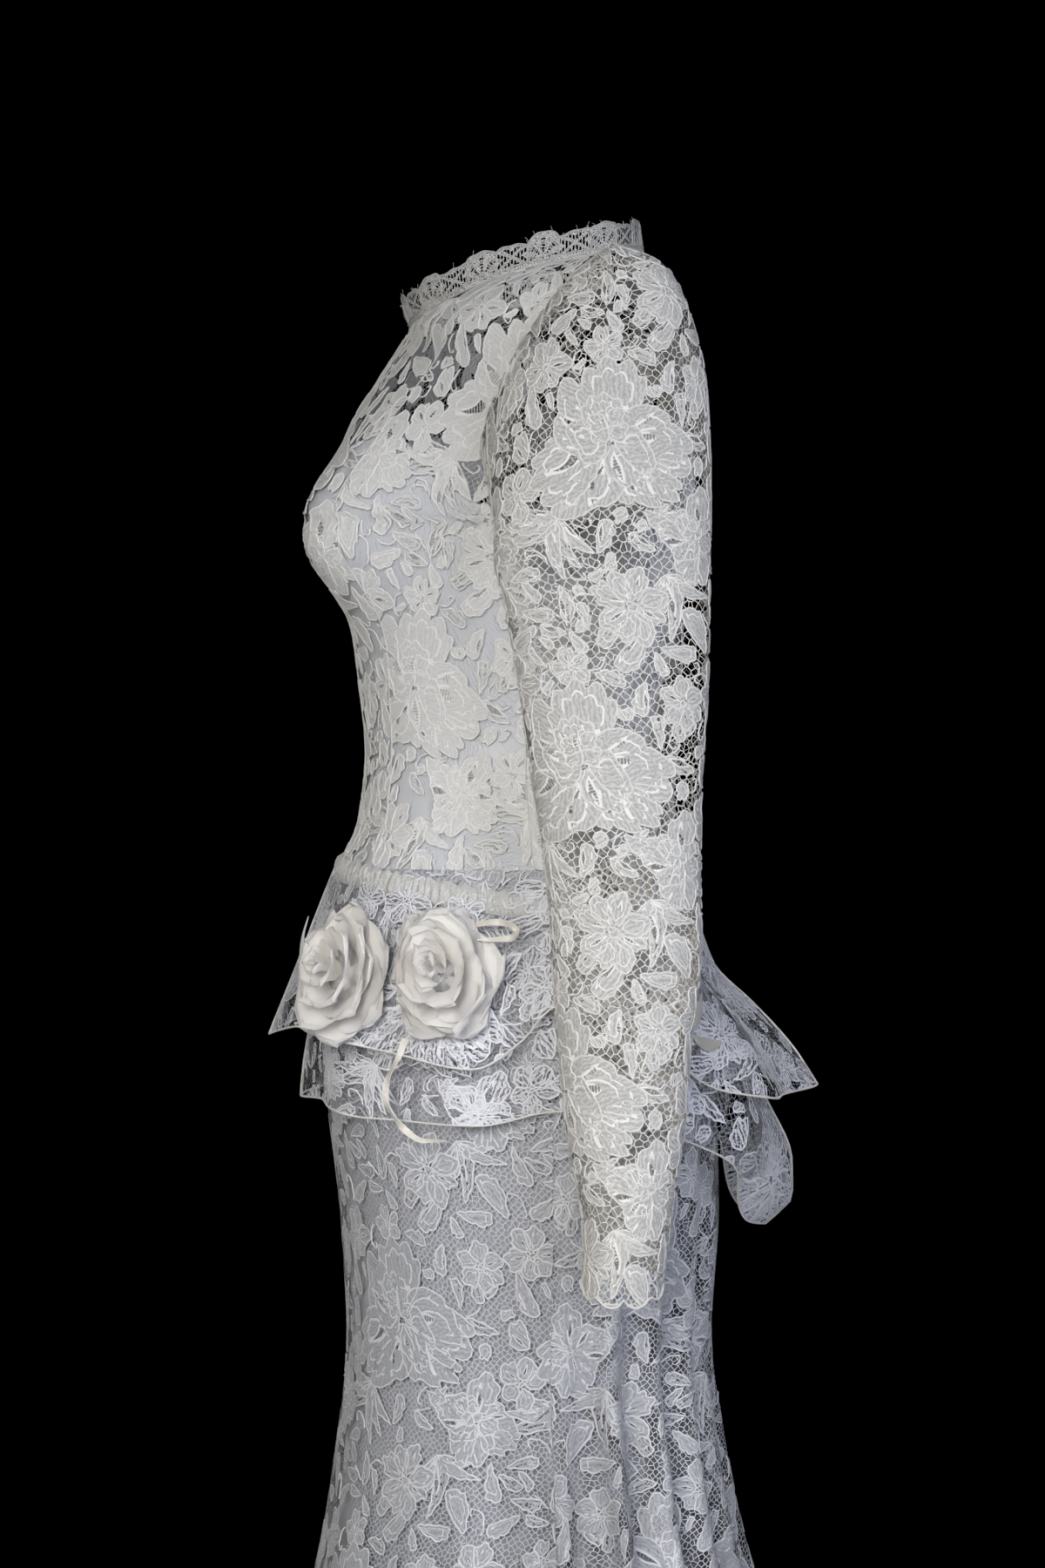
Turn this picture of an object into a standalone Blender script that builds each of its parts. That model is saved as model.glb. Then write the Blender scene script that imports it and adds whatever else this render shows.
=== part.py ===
"""Wedding dress: a long-sleeved lace gown over a strapless satin underdress, with a two-tier lace
peplum at its dropped waist, two organza roses on the left hip and a trumpet skirt.

The dress is modelled as it is worn, hollow, with each cut and sewn piece as its own closed wall.
Metres, +Z up. The front faces -Y and the wearer's left is +X. The origin is the middle of the neck
opening at shoulder height, where the wearer's shoulders carry the dress.
"""

import math
from collections import namedtuple

import bmesh
import bpy
import numpy as np
from mathutils import Vector

# ---------------------------------------------------------------- driving dimensions
SEAM_GAP = 0.0003  # between two pieces at a seam
LACE = 0.0012  # wall of the corded lace
SATIN = 0.0010  # wall of the underdress
RIBBON_THICK = 0.0010  # of the ribbons and the leaf
EASE = 0.0015  # air between the lace and the underdress
ARMHOLE_GAP = 0.0005  # between a sleeve and its armhole

YOKE_BASE = -0.235  # height below which the body is a stack of level sections
WAIST_SEAM = -0.408  # the dropped waist, 78 mm under the natural waist
HEM = -1.400  # floor length
UNDERDRESS_HEM = -1.330
PRINCESS = 0.42  # where the princess seam meets the waist, as a share of the way to the side

CUP_APEX_X, CUP_APEX_Z = 0.080, -0.187
CUP_DEPTH = 0.040
CUP_WIDE, CUP_UP, CUP_DOWN = 0.048, 0.062, 0.048
ROUNDNESS = 0.889  # exponent of a section; 1 is an ellipse, less is boxier

# ---------------------------------------------------------------- tables of sizes
# Level sections: front and back are y, half is the half width, side is the y of the side seam.
Section = namedtuple("Section", "z front back half side")
LACE_SECTIONS = (
    Section(-1.400, -0.300, 0.460, 0.390, 0.060),
    Section(-1.250, -0.250, 0.335, 0.312, 0.035),
    Section(-1.080, -0.204, 0.222, 0.238, 0.015),
    Section(-0.892, -0.166, 0.127, 0.180, 0.000),
    Section(-0.800, -0.151, 0.108, 0.166, -0.004),
    Section(-0.730, -0.1445, 0.1000, 0.163, -0.006),
    Section(-0.640, -0.150, 0.107, 0.168, -0.004),
    Section(-0.540, -0.160, 0.108, 0.172, -0.004),
    Section(-0.470, -0.156, 0.095, 0.166, -0.010),
    Section(-0.408, -0.149, 0.079, 0.150, -0.016),
    Section(-0.376, -0.137, 0.068, 0.135, -0.020),
    Section(-0.330, -0.132, 0.062, 0.124, -0.022),
    Section(-0.270, -0.138, 0.075, 0.132, -0.012),
    Section(-0.235, -0.141, 0.085, 0.140, -0.004),
    Section(-0.185, -0.155, 0.091, 0.152, 0.010),
)
UNDERDRESS_SECTIONS = (
    Section(-1.330, -0.215, 0.250, 0.275, 0.020),
    Section(-1.100, -0.178, 0.160, 0.205, 0.000),
    Section(-0.892, -0.155, 0.108, 0.163, -0.008),
    Section(-0.730, -0.141, 0.088, 0.155, -0.012),
    Section(-0.640, -0.145, 0.096, 0.162, -0.010),
    Section(-0.540, -0.1555, 0.1005, 0.167, -0.006),
    Section(-0.470, -0.1525, 0.0900, 0.1625, -0.010),
    Section(-0.408, -0.1463, 0.0763, 0.1473, -0.016),
)

# Edges of the yoke, from the level YOKE_BASE (v = 0) to the shoulder seam (v = 1).
Edge = namedtuple("Edge", "v x y z")
FRONT_NECK_V, BACK_NECK_V, UNDERARM_V = 0.62, 0.86, 0.213
FRONT_CENTRE = (
    Edge(0.070, 0, -0.1470, -0.212),
    Edge(0.140, 0, -0.1520, -0.190),
    Edge(0.210, 0, -0.1545, -0.170),
    Edge(0.285, 0, -0.1545, -0.148),
    Edge(0.360, 0, -0.1490, -0.124),
    Edge(0.435, 0, -0.1400, -0.100),
    Edge(0.510, 0, -0.1250, -0.076),
    Edge(0.582, 0, -0.1100, -0.052),
    Edge(FRONT_NECK_V, 0, -0.1020, -0.040),
)
FRONT_NECK = (
    Edge(FRONT_NECK_V, 0, -0.1020, -0.0400),
    Edge(0.700, 0.037, -0.0970, -0.0378),
    Edge(0.780, 0.067, -0.0780, -0.0295),
    Edge(0.860, 0.087, -0.0440, -0.0165),
    Edge(0.930, 0.095, -0.0110, -0.0075),
    Edge(1.000, 0.095, 0.0190, -0.0015),
)
BACK_CENTRE = (
    Edge(0.120, 0, 0.0890, -0.207),
    Edge(0.220, 0, 0.0925, -0.180),
    Edge(0.380, 0, 0.0945, -0.140),
    Edge(0.540, 0, 0.0910, -0.095),
    Edge(0.680, 0, 0.0850, -0.050),
    Edge(0.780, 0, 0.0750, -0.016),
    Edge(BACK_NECK_V, 0, 0.0600, 0.0095),
)
BACK_NECK = (
    Edge(BACK_NECK_V, 0, 0.0600, 0.0095),
    Edge(0.895, 0.035, 0.0580, 0.0085),
    Edge(0.930, 0.065, 0.0500, 0.0060),
    Edge(0.965, 0.085, 0.0360, 0.0020),
    Edge(1.000, 0.095, 0.0190, -0.0015),
)
SIDE_SEAM = (
    Edge(0.110, 0.147, 0.004, -0.209),
    Edge(UNDERARM_V, 0.152, 0.010, -0.185),
)
FRONT_ARMHOLE = (
    Edge(UNDERARM_V, 0.1520, 0.0100, -0.1850),
    Edge(0.250, 0.1515, -0.0140, -0.1815),
    Edge(0.290, 0.1500, -0.0340, -0.1710),
    Edge(0.350, 0.1490, -0.0460, -0.1530),
    Edge(0.430, 0.1490, -0.0490, -0.1330),
    Edge(0.520, 0.1500, -0.0435, -0.1120),
    Edge(0.610, 0.1520, -0.0340, -0.0920),
    Edge(0.700, 0.1560, -0.0225, -0.0705),
    Edge(0.800, 0.1630, -0.0070, -0.0475),
    Edge(0.900, 0.1710, 0.0125, -0.0235),
    Edge(1.000, 0.1780, 0.0345, -0.0075),
)
BACK_ARMHOLE = (
    Edge(UNDERARM_V, 0.1520, 0.0100, -0.1850),
    Edge(0.250, 0.1530, 0.0330, -0.1815),
    Edge(0.310, 0.1560, 0.0580, -0.1680),
    Edge(0.400, 0.1590, 0.0750, -0.1430),
    Edge(0.500, 0.1620, 0.0840, -0.1150),
    Edge(0.620, 0.1650, 0.0850, -0.0830),
    Edge(0.750, 0.1690, 0.0790, -0.0490),
    Edge(0.880, 0.1740, 0.0650, -0.0200),
    Edge(1.000, 0.1780, 0.0345, -0.0075),
)
# The princess seam, as the share of the way from the centre to the side that it keeps.
Seam = namedtuple("Seam", "v a")
PRINCESS_SEAM = (
    Seam(-0.750, PRINCESS),
    Seam(-0.300, PRINCESS),
    Seam(0.000, 0.460),
    Seam(0.110, 0.450),
    Seam(0.213, 0.440),
    Seam(0.250, 0.455),
    Seam(0.290, 0.490),
    Seam(0.350, 0.520),
    Seam(0.430, 0.540),
    Seam(0.620, 0.560),
    Seam(0.700, 0.46),
    Seam(0.780, 0.38),
    Seam(0.860, 0.34),
    Seam(0.930, 0.36),
    Seam(1.000, PRINCESS),
)
# Top edge of the underdress: v against the share of the way from the centre to the side.
Top = namedtuple("Top", "a v")
SWEETHEART = (
    Top(0.00, 0.295),
    Top(0.20, 0.360),
    Top(0.45, 0.432),
    Top(0.62, 0.410),
    Top(0.74, 0.345),
    Top(0.88, 0.290),
    Top(1.00, 0.205),
)
UNDERDRESS_BACK_TOP = 0.205

# Sleeve below the armhole: centre and half sizes of its level sections.
Tube = namedtuple("Tube", "z x y half_x half_y")
SLEEVE = (
    Tube(-0.660, 0.243, 0.0385, 0.0300, 0.0258),
    Tube(-0.627, 0.240, 0.0410, 0.0305, 0.0280),
    Tube(-0.572, 0.236, 0.0404, 0.0310, 0.0369),
    Tube(-0.517, 0.232, 0.0401, 0.0315, 0.0421),
    Tube(-0.462, 0.2265, 0.0415, 0.0320, 0.0473),
    Tube(-0.407, 0.220, 0.0393, 0.0325, 0.0495),
    Tube(-0.352, 0.214, 0.0360, 0.0330, 0.0540),
    Tube(-0.297, 0.208, 0.0340, 0.0335, 0.0597),
    Tube(-0.242, 0.202, 0.0300, 0.0340, 0.0655),
    Tube(-0.215, 0.199, 0.0270, 0.0340, 0.0690),
)
SLEEVE_TOP = -0.215
CUFF, CUFF_DROP, CUFF_SCALLOP = -0.663, 0.010, 0.003
CAP_PUFF, CAP_RISE = 0.046, 0.36
CAP_FALL_OUTER, CAP_FALL_INNER = 0.090, 0.012

# Peplum tiers: t runs from the centre front (0) to the centre back (1). seam and hem are heights,
# out is how far the tier stands from the body at most, bustle how much it falls as a bustle.
Flare = namedtuple("Flare", "t seam hem out bustle")
UPPER_TIER = (
    Flare(0.00, -0.400, -0.524, 0.033, 0.0),
    Flare(0.12, -0.402, -0.514, 0.027, 0.0),
    Flare(0.33, -0.409, -0.527, 0.022, 0.0),
    Flare(0.42, -0.412, -0.534, 0.020, 0.0),
    Flare(0.47, -0.413, -0.517, 0.019, 0.0),
    Flare(0.51, -0.414, -0.494, 0.017, 0.0),
    Flare(0.60, -0.414, -0.502, 0.018, 0.0),
    Flare(0.75, -0.412, -0.552, 0.036, 0.3),
    Flare(0.87, -0.410, -0.560, 0.052, 1.0),
    Flare(1.00, -0.408, -0.558, 0.062, 1.0),
)
LOWER_TIER = (
    Flare(0.00, -0.434, -0.566, 0.012, 0.0),
    Flare(0.12, -0.434, -0.563, 0.011, 0.0),
    Flare(0.25, -0.434, -0.570, 0.011, 0.0),
    Flare(0.42, -0.436, -0.571, 0.011, 0.0),
    Flare(0.51, -0.438, -0.562, 0.010, 0.0),
    Flare(0.60, -0.438, -0.564, 0.010, 0.0),
    Flare(0.73, -0.436, -0.586, 0.020, 0.2),
    Flare(0.85, -0.434, -0.618, 0.038, 1.0),
    Flare(0.93, -0.432, -0.648, 0.047, 1.0),
    Flare(1.00, -0.430, -0.655, 0.047, 1.0),
)
# How a tier falls from its seam (s = 0) to its hem (s = 1), as shares of out: plain at the front,
# and at the back held close by the sash line and then sprung out as a bustle.
Fall = namedtuple("Fall", "s front upper_back lower_back")
FALLS = (
    Fall(0.00, 0.00, 0.00, 0.00),
    Fall(0.24, 0.22, 0.07, 0.07),
    Fall(0.44, 0.41, 0.12, 0.26),
    Fall(0.62, 0.59, 0.42, 0.66),
    Fall(0.80, 0.78, 0.72, 0.99),
    Fall(0.91, 0.90, 0.88, 0.98),
    Fall(1.00, 1.00, 1.00, 0.58),
)
TIER_FLUTES = 5  # waves of each tier on each side
TIER_WAVE_FRONT, TIER_WAVE_BACK = 0.0045, 0.0080
TIER_PARTING = 0.010  # share of t left open at the centre front and back
TIER_CLEAR = 0.0020  # stand of a tier's top from what it is sewn to

# Skirt folds: waves around the lace skirt, as height of the wave at each level.
Fold = namedtuple("Fold", "z front back")
FOLDS = (
    Fold(-1.400, 0.0160, 0.0260),
    Fold(-1.150, 0.0080, 0.0170),
    Fold(-0.892, 0.0016, 0.0095),
    Fold(-0.700, 0.0004, 0.0060),
    Fold(-0.560, 0.0000, 0.0022),
    Fold(-0.408, 0.0000, 0.0000),
)
FRONT_FOLDS, BACK_FOLDS = 3, 5

# Neck edging
EDGING_HEIGHT, EDGING_SCALLOP = 0.0165, 0.0045
EDGING_SCALLOPS = 27
EDGING_STEPS = 3  # points for each scallop
EDGING_LIFT = 0.0004

# Roses sewn on the upper tier: place on the tier, half width, tallness, thickness and turn.
Rose = namedtuple("Rose", "name t s radius tall thick turn")
ROSES = (
    Rose("rose_front", 0.235, 0.640, 0.0330, 1.45, 0.036, 0.4),
    Rose("rose_side", 0.380, 0.540, 0.0350, 1.35, 0.036, 2.1),
)
ROSE_RINGS, ROSE_STEPS, ROSE_LOBES = 7, 20, 5
ROSE_WRAPS = 2.6  # turns of the petals from the edge to the heart

# Ribbons: t, height and stand from the body of the points that each follows.
Stop = namedtuple("Stop", "t z out")
RIBBON_WIDTH = 0.0045
RIBBON_TAIL = (
    Stop(0.334, -0.5160, 0.0216),
    Stop(0.328, -0.5260, 0.0240),
    Stop(0.318, -0.5360, 0.0255),
    Stop(0.310, -0.5460, 0.0252),
    Stop(0.308, -0.5560, 0.0245),
    Stop(0.314, -0.5660, 0.0220),
    Stop(0.328, -0.5750, 0.0200),
    Stop(0.352, -0.5815, 0.0190),
    Stop(0.382, -0.5815, 0.0185),
)
RIBBON_LOOP = (
    Stop(0.428, -0.4420, 0.0180),
    Stop(0.452, -0.4405, 0.0215),
    Stop(0.468, -0.4420, 0.0225),
    Stop(0.476, -0.4460, 0.0215),
    Stop(0.470, -0.4505, 0.0205),
    Stop(0.452, -0.4515, 0.0205),
    Stop(0.4298, -0.4520, 0.0200),
)

LEAF_WIDTH = 0.0150
ROSE_LEAF = (
    Stop(0.1150, -0.4920, 0.0221),
    Stop(0.1000, -0.4760, 0.0232),
    Stop(0.0850, -0.4590, 0.0225),
    Stop(0.0700, -0.4420, 0.0190),
)

# Covered buttons down the centre back of the yoke
BUTTONS, BUTTON_RADIUS, BUTTON_HALF_THICK = 10, 0.0045, 0.0022
BUTTON_TOP_V, BUTTON_BOTTOM_V = 0.825, 0.090
BUTTON_LIFT = 0.0001  # from the curve of the back, which the flat facets lie just inside

# ---------------------------------------------------------------- rows and columns of the pieces
BODICE_LEVELS = (-0.408, -0.388, -0.362, -0.332, -0.300, -0.268, -0.235)
FRONT_ROWS = (0.11, 0.213, 0.25, 0.29, 0.35, 0.43, 0.52, 0.62, 0.70, 0.78, 0.86, 0.93, 1.0)
BACK_ROWS = (0.11, 0.213, 0.25, 0.31, 0.40, 0.50, 0.62, 0.72, 0.80, 0.86, 0.93, 1.0)
SKIRT_LEVELS = (-1.4, -1.31, -1.21, -1.1, -0.99, -0.88, -0.77, -0.66, -0.56, -0.47, -0.408)
UNDERDRESS_LEVELS = (-1.330, -1.180, -1.030, -0.892, -0.770, -0.650, -0.540, -0.470, -0.408)
SLEEVE_LEVELS = (-0.215, -0.265, -0.325, -0.385, -0.450, -0.515, -0.575, -0.630)
CAP_ROWS = (0.0, 0.22, 0.45, 0.72)
CENTRE_COLUMNS, SIDE_COLUMNS = 4, 5  # columns each side of the princess seam

MATERIALS = {
    "lace": ((0.86, 0.84, 0.79, 1.0), 0.75),
    "satin": ((0.80, 0.81, 0.84, 1.0), 0.35),
    "edging": ((0.80, 0.79, 0.76, 1.0), 0.80),
    "organza": ((0.84, 0.79, 0.72, 1.0), 0.60),
    "ribbon": ((0.88, 0.85, 0.79, 1.0), 0.35),
    "button": ((0.84, 0.83, 0.80, 1.0), 0.35),
}


# ---------------------------------------------------------------- curves through the tables
def smooth(knots, values):
    """A curve through the values at the knots that never overshoots them; values may be vectors."""
    knots = np.array(knots, float)
    values = np.array(values, float).reshape(len(knots), -1)
    step = np.diff(knots)[:, None]
    slope = np.diff(values, axis=0) / step
    tangent = np.zeros_like(values)
    tangent[0], tangent[-1] = slope[0], slope[-1]
    product = slope[:-1] * slope[1:]
    total = slope[:-1] + slope[1:]
    total[product <= 0] = 1.0
    tangent[1:-1] = np.where(product > 0, 2 * product / total, 0.0)

    def at(t):
        t = min(max(t, knots[0]), knots[-1])
        i = min(int(np.searchsorted(knots, t, side="right")) - 1, len(knots) - 2)
        width = knots[i + 1] - knots[i]
        u = (t - knots[i]) / width
        return (
            (1 + 2 * u) * (1 - u) ** 2 * values[i]
            + u * (1 - u) ** 2 * width * tangent[i]
            + u * u * (3 - 2 * u) * values[i + 1]
            + u * u * (u - 1) * width * tangent[i + 1]
        )

    return at


def curve_of(rows):
    """The curve through a table whose first column is the knot."""
    rows = sorted(rows)
    return smooth([row[0] for row in rows], [row[1:] for row in rows])


lace_section = curve_of(LACE_SECTIONS)
underdress_section = curve_of(UNDERDRESS_SECTIONS)
sleeve_section = curve_of(SLEEVE)
fold_height = curve_of(FOLDS)
sweetheart = curve_of(SWEETHEART)
princess_seam = curve_of(PRINCESS_SEAM)


# ---------------------------------------------------------------- the body of the dress
def cup(x, z):
    """How far the bust cups stand forward of the plain section."""
    across = (abs(x) - CUP_APEX_X) / CUP_WIDE
    along = (z - CUP_APEX_Z) / (CUP_UP if z > CUP_APEX_Z else CUP_DOWN)
    return CUP_DEPTH * math.exp(-across * across - along * along)


def ring(section, z, t):
    """Point of a level section; t runs from the centre front (0) by the left side to the back (1)."""
    front, back, half, side = section(z)
    angle = math.pi * t
    x = half * max(math.sin(angle), 0.0) ** ROUNDNESS
    reach = (side - front) if t <= 0.5 else (back - side)
    y = side - math.copysign(abs(math.cos(angle)) ** ROUNDNESS, math.cos(angle)) * reach
    return np.array([x, y, z])


def ring_outward(section, z, t):
    """Level unit vector pointing out of a section at t."""
    step = 0.004
    before, after = ring(section, z, max(t - step, 0)), ring(section, z, min(t + step, 1))
    along = after - before
    if t < step:
        return np.array([0.0, -1.0, 0.0])
    if t > 1 - step:
        return np.array([0.0, 1.0, 0.0])
    out = np.array([-along[1], along[0], 0.0]) * -1
    return out / np.linalg.norm(out)


def yoke_edge(centre, neck, corner, t):
    """The inner edge of a yoke half: up the centre line to the corner, then along the neckline."""
    start = ring(lace_section, YOKE_BASE, t)
    line = curve_of([Edge(0, *start), *centre])
    around = curve_of(neck)
    return lambda v: line(v) if v <= corner else around(v)


def armhole_edge(armhole):
    """The outer edge of a yoke half: up the side seam to the underarm, then along the armhole."""
    start = ring(lace_section, YOKE_BASE, 0.5)
    seam = curve_of([Edge(0, *start), *SIDE_SEAM])
    around = curve_of(armhole)
    return lambda v: seam(v) if v <= UNDERARM_V else around(v)


INNER = {
    "front": yoke_edge(FRONT_CENTRE, FRONT_NECK, FRONT_NECK_V, 0.0),
    "back": yoke_edge(BACK_CENTRE, BACK_NECK, BACK_NECK_V, 1.0),
}
OUTER = {"front": armhole_edge(FRONT_ARMHOLE), "back": armhole_edge(BACK_ARMHOLE)}


def turn_of(face, a):
    """t of the share a of the way from the centre line of a face to its side seam."""
    return a / 2 if face == "front" else 1 - a / 2


def arc_to(face, y):
    """Share of the arc from the centre line to the side seam at which the body reaches y."""
    front, back, _, side = lace_section(YOKE_BASE)
    reach = (y - side) / ((front if face == "front" else back) - side)
    return math.acos(min(max(reach, 0.0), 1.0) ** (1 / ROUNDNESS)) / (math.pi / 2)


def body(face, v, a):
    """Outer surface of the lace body on the wearer's left.

    v is 1 at the shoulder seam, 0 at YOKE_BASE, and below that the height in shares of YOKE_BASE.
    a is 0 at the centre, PRINCESS on the princess seam and 1 at the side.
    """
    seam = float(princess_seam(v)[0]) if face == "front" else PRINCESS
    a = a / PRINCESS * seam if a <= PRINCESS else 1 - (1 - a) / (1 - PRINCESS) * (1 - seam)
    if v <= 0:
        point = ring(lace_section, YOKE_BASE * (1 - v), turn_of(face, a))
    else:
        inner, outer = INNER[face](v), OUTER[face](v)
        arc = arc_to(face, outer[1])
        base = [ring(lace_section, YOKE_BASE, turn_of(face, k * arc)) for k in (0, a, 1)]
        swell = base[1] - (1 - a) * base[0] - a * base[2]
        point = (1 - a) * inner + a * outer + swell * (1 - v * v)
    if face == "front":
        point = point - np.array([0, cup(point[0], point[2]) * (1 - a**4), 0])
    return point


def v_of(z):
    return 1 - z / YOKE_BASE


# ---------------------------------------------------------------- grids and walls
class Grid:
    """Rows and columns of points on the outside of a piece, with the directions that point out."""

    def __init__(self, points, outward, loose="", round_it=False):
        self.points = np.array(points, float)
        self.loose = loose
        along = self.slope(1, round_it)
        up = self.slope(0, False)
        normals = np.cross(along, up)
        length = np.linalg.norm(normals, axis=2, keepdims=True)
        normals = normals / np.maximum(length, 1e-12)
        middle = tuple(n // 2 for n in normals.shape[:2])
        if np.dot(normals[middle], outward) < 0:
            normals = -normals
        self.normals = normals

    def slope(self, axis, round_it):
        """Direction of the grid along an axis at each point."""
        if not round_it:
            return np.gradient(self.points, axis=axis)
        open_ring = self.points[:, :-1]
        along = np.roll(open_ring, -1, axis=1) - np.roll(open_ring, 1, axis=1)
        return np.concatenate([along, along[:, :1]], axis=1)

    def mirrored(self):
        """The same grid on the wearer's right."""
        other = object.__new__(Grid)
        flip = np.array([-1.0, 1.0, 1.0])
        other.points, other.normals = self.points * flip, self.normals * flip
        other.loose = self.loose
        return other

    def moved_in(self, distance, first_row=None):
        """The same grid, this far inside; its first row may have a distance of its own."""
        other = object.__new__(Grid)
        other.points = self.points - self.normals * distance
        if first_row is not None:
            other.points[0] = self.points[0] - self.normals[0] * first_row
        other.normals, other.loose = self.normals.copy(), self.loose
        return other

    def cut(self, rows, tops):
        """The same grid with each column cut off where its row value reaches that column's top."""
        other = self.moved_in(0)
        for j, top in enumerate(tops):
            k = next(i for i, row in enumerate(rows) if row >= top)
            share = (top - rows[k - 1]) / (rows[k] - rows[k - 1])
            for grid in (other.points, other.normals):
                grid[k:, j] = grid[k - 1, j] * (1 - share) + grid[k, j] * share
        return other

    def trimmed(self):
        """Points with half a seam gap taken off each loose edge: f first column, l last, b first row, t last."""
        points = self.points.copy()
        for edge in self.loose:
            at, beside = {
                "f": (np.s_[:, 0], np.s_[:, 1]),
                "l": (np.s_[:, -1], np.s_[:, -2]),
                "b": (np.s_[0], np.s_[1]),
                "t": (np.s_[-1], np.s_[-2]),
            }[edge]
            way = self.points[beside] - self.points[at]
            length = np.linalg.norm(way, axis=-1, keepdims=True)
            points[at] += way / np.maximum(length, 1e-9) * SEAM_GAP / 2
        return points


def share_normals(grids):
    """Gives points that several pieces share one outward direction, so that seams are mitred."""
    totals = {}
    keys = [[tuple(np.round(p * 2e4).astype(int)) for p in g.points.reshape(-1, 3)] for g in grids]
    for grid, names in zip(grids, keys):
        for key, normal in zip(names, grid.normals.reshape(-1, 3)):
            totals[key] = totals.get(key, 0) + normal
    for grid, names in zip(grids, keys):
        mean = np.array([totals[key] for key in names])
        on_seam = np.abs(grid.points.reshape(-1, 3)[:, 2] - WAIST_SEAM) < SEAM_GAP
        mean[on_seam, 2] = 0.0
        mean /= np.linalg.norm(mean, axis=1, keepdims=True)
        grid.normals = mean.reshape(grid.normals.shape)


def material(name):
    found = bpy.data.materials.get(name)
    if found:
        return found
    colour, roughness = MATERIALS[name]
    made = bpy.data.materials.new(name)
    made.use_nodes = True
    shader = made.node_tree.nodes["Principled BSDF"]
    shader.inputs["Base Color"].default_value = colour
    shader.inputs["Roughness"].default_value = roughness
    shader.inputs["Metallic"].default_value = 0.0
    return made


def finish(name, mesh, finish_name):
    """Puts a mesh in the dress as a named, smoothly shaded object."""
    mesh.materials.append(material(finish_name))
    mesh.shade_smooth()
    mesh.set_sharp_from_angle(angle=math.radians(50))
    piece = bpy.data.objects.new(name, mesh)
    bpy.data.collections["wedding_dress"].objects.link(piece)
    return piece


def solid_between(name, sheets, finish_name):
    """One closed solid from pairs of grids, (outer points, inner points), joined where they meet."""
    index, corners, triangles = {}, [], []

    def corner(outer, inner):
        key = tuple(np.round(outer * 1e6).astype(int))
        if key not in index:
            index[key] = len(corners)
            corners.append((outer, inner))
        return index[key]

    for outer, inner in sheets:
        rows, columns = outer.shape[:2]
        at = [[corner(outer[i, j], inner[i, j]) for j in range(columns)] for i in range(rows)]
        for i in range(rows - 1):
            for j in range(columns - 1):
                low, high = at[i][j], at[i + 1][j + 1]
                for loop in ((low, at[i][j + 1], high), (low, high, at[i + 1][j])):
                    if len(set(loop)) == 3:
                        triangles.append(loop)
    shell = bmesh.new()
    outside = [shell.verts.new(outer) for outer, _ in corners]
    inside = [shell.verts.new(inner) for _, inner in corners]
    uses = {}
    for loop in triangles:
        shell.faces.new([outside[k] for k in loop])
        shell.faces.new([inside[k] for k in reversed(loop)])
        for n, k in enumerate(loop):
            pair = tuple(sorted((loop[n - 1], k)))
            uses[pair] = uses.get(pair, 0) + 1
    for (first, second), count in uses.items():
        if count == 1:
            shell.faces.new([outside[first], outside[second], inside[second], inside[first]])
    bmesh.ops.recalc_face_normals(shell, faces=shell.faces)
    mesh = bpy.data.meshes.new(name)
    shell.to_mesh(mesh)
    shell.free()
    return finish(name, mesh, finish_name)


def wall(name, grids, thickness, finish_name):
    """A cloth piece: its grids' outer points and the same points moved in by the thickness."""
    sheets = []
    for grid in grids:
        outer = grid.trimmed()
        sheets.append((outer, outer - grid.normals * thickness))
    return solid_between(name, sheets, finish_name)


def spread(start, stop, steps):
    return [start + (stop - start) * k / steps for k in range(steps + 1)]


# ---------------------------------------------------------------- bodice
def bodice_rows(face):
    return [v_of(z) for z in BODICE_LEVELS] + list(FRONT_ROWS if face == "front" else BACK_ROWS)


def bodice_grid(face, columns, loose):
    points = [[body(face, v, a) for a in columns] for v in bodice_rows(face)]
    return Grid(points, (0.3, -1, 0) if face == "front" else (0.3, 1, 0), loose)


def bodice_pieces():
    """Grids of the lace bodice: centre front, side fronts and backs."""
    centre_columns = spread(0, PRINCESS, CENTRE_COLUMNS)
    side_columns = spread(PRINCESS, 1, SIDE_COLUMNS)
    centre = bodice_grid("front", centre_columns, "lbt")
    side = bodice_grid("front", side_columns, "flbt")
    back = bodice_grid("back", centre_columns + side_columns[1:], "flbt")
    return {
        "bodice_centre_front": [centre, centre.mirrored()],
        "bodice_side_front_left": [side],
        "bodice_side_front_right": [side.mirrored()],
        "bodice_back_left": [back],
        "bodice_back_right": [back.mirrored()],
    }


def underdress_bodice():
    """Grids of the satin bodice under the lace, cut at its sweetheart top."""
    columns = spread(0, PRINCESS, CENTRE_COLUMNS) + spread(PRINCESS, 1, SIDE_COLUMNS)[1:]
    front, back = bodice_grid("front", columns, "lb"), bodice_grid("back", columns, "flb")
    share_normals([front, front.mirrored(), back, back.mirrored()])
    front = front.cut(bodice_rows("front"), [float(sweetheart(a)[0]) for a in columns])
    back = back.cut(bodice_rows("back"), [UNDERDRESS_BACK_TOP] * len(columns))
    waist = LACE + SEAM_GAP
    front, back = front.moved_in(LACE + EASE, waist), back.moved_in(LACE + EASE, waist)
    return {
        "underdress_front": [front, front.mirrored()],
        "underdress_back_left": [back],
        "underdress_back_right": [back.mirrored()],
    }


# ---------------------------------------------------------------- skirts
def skirt_point(z, t):
    """Outer surface of the lace skirt with its folds."""
    front, back = fold_height(z)
    if t <= 0.5:
        wave = front * math.cos(2 * math.pi * FRONT_FOLDS * t / 0.5)
    else:
        rise = min((t - 0.5) / 0.08, 1.0)
        height = front + (back - front) * rise
        wave = height * math.cos(2 * math.pi * BACK_FOLDS * (t - 0.5) / 0.5)
    return ring(lace_section, z, t) + ring_outward(lace_section, z, t) * wave


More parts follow.
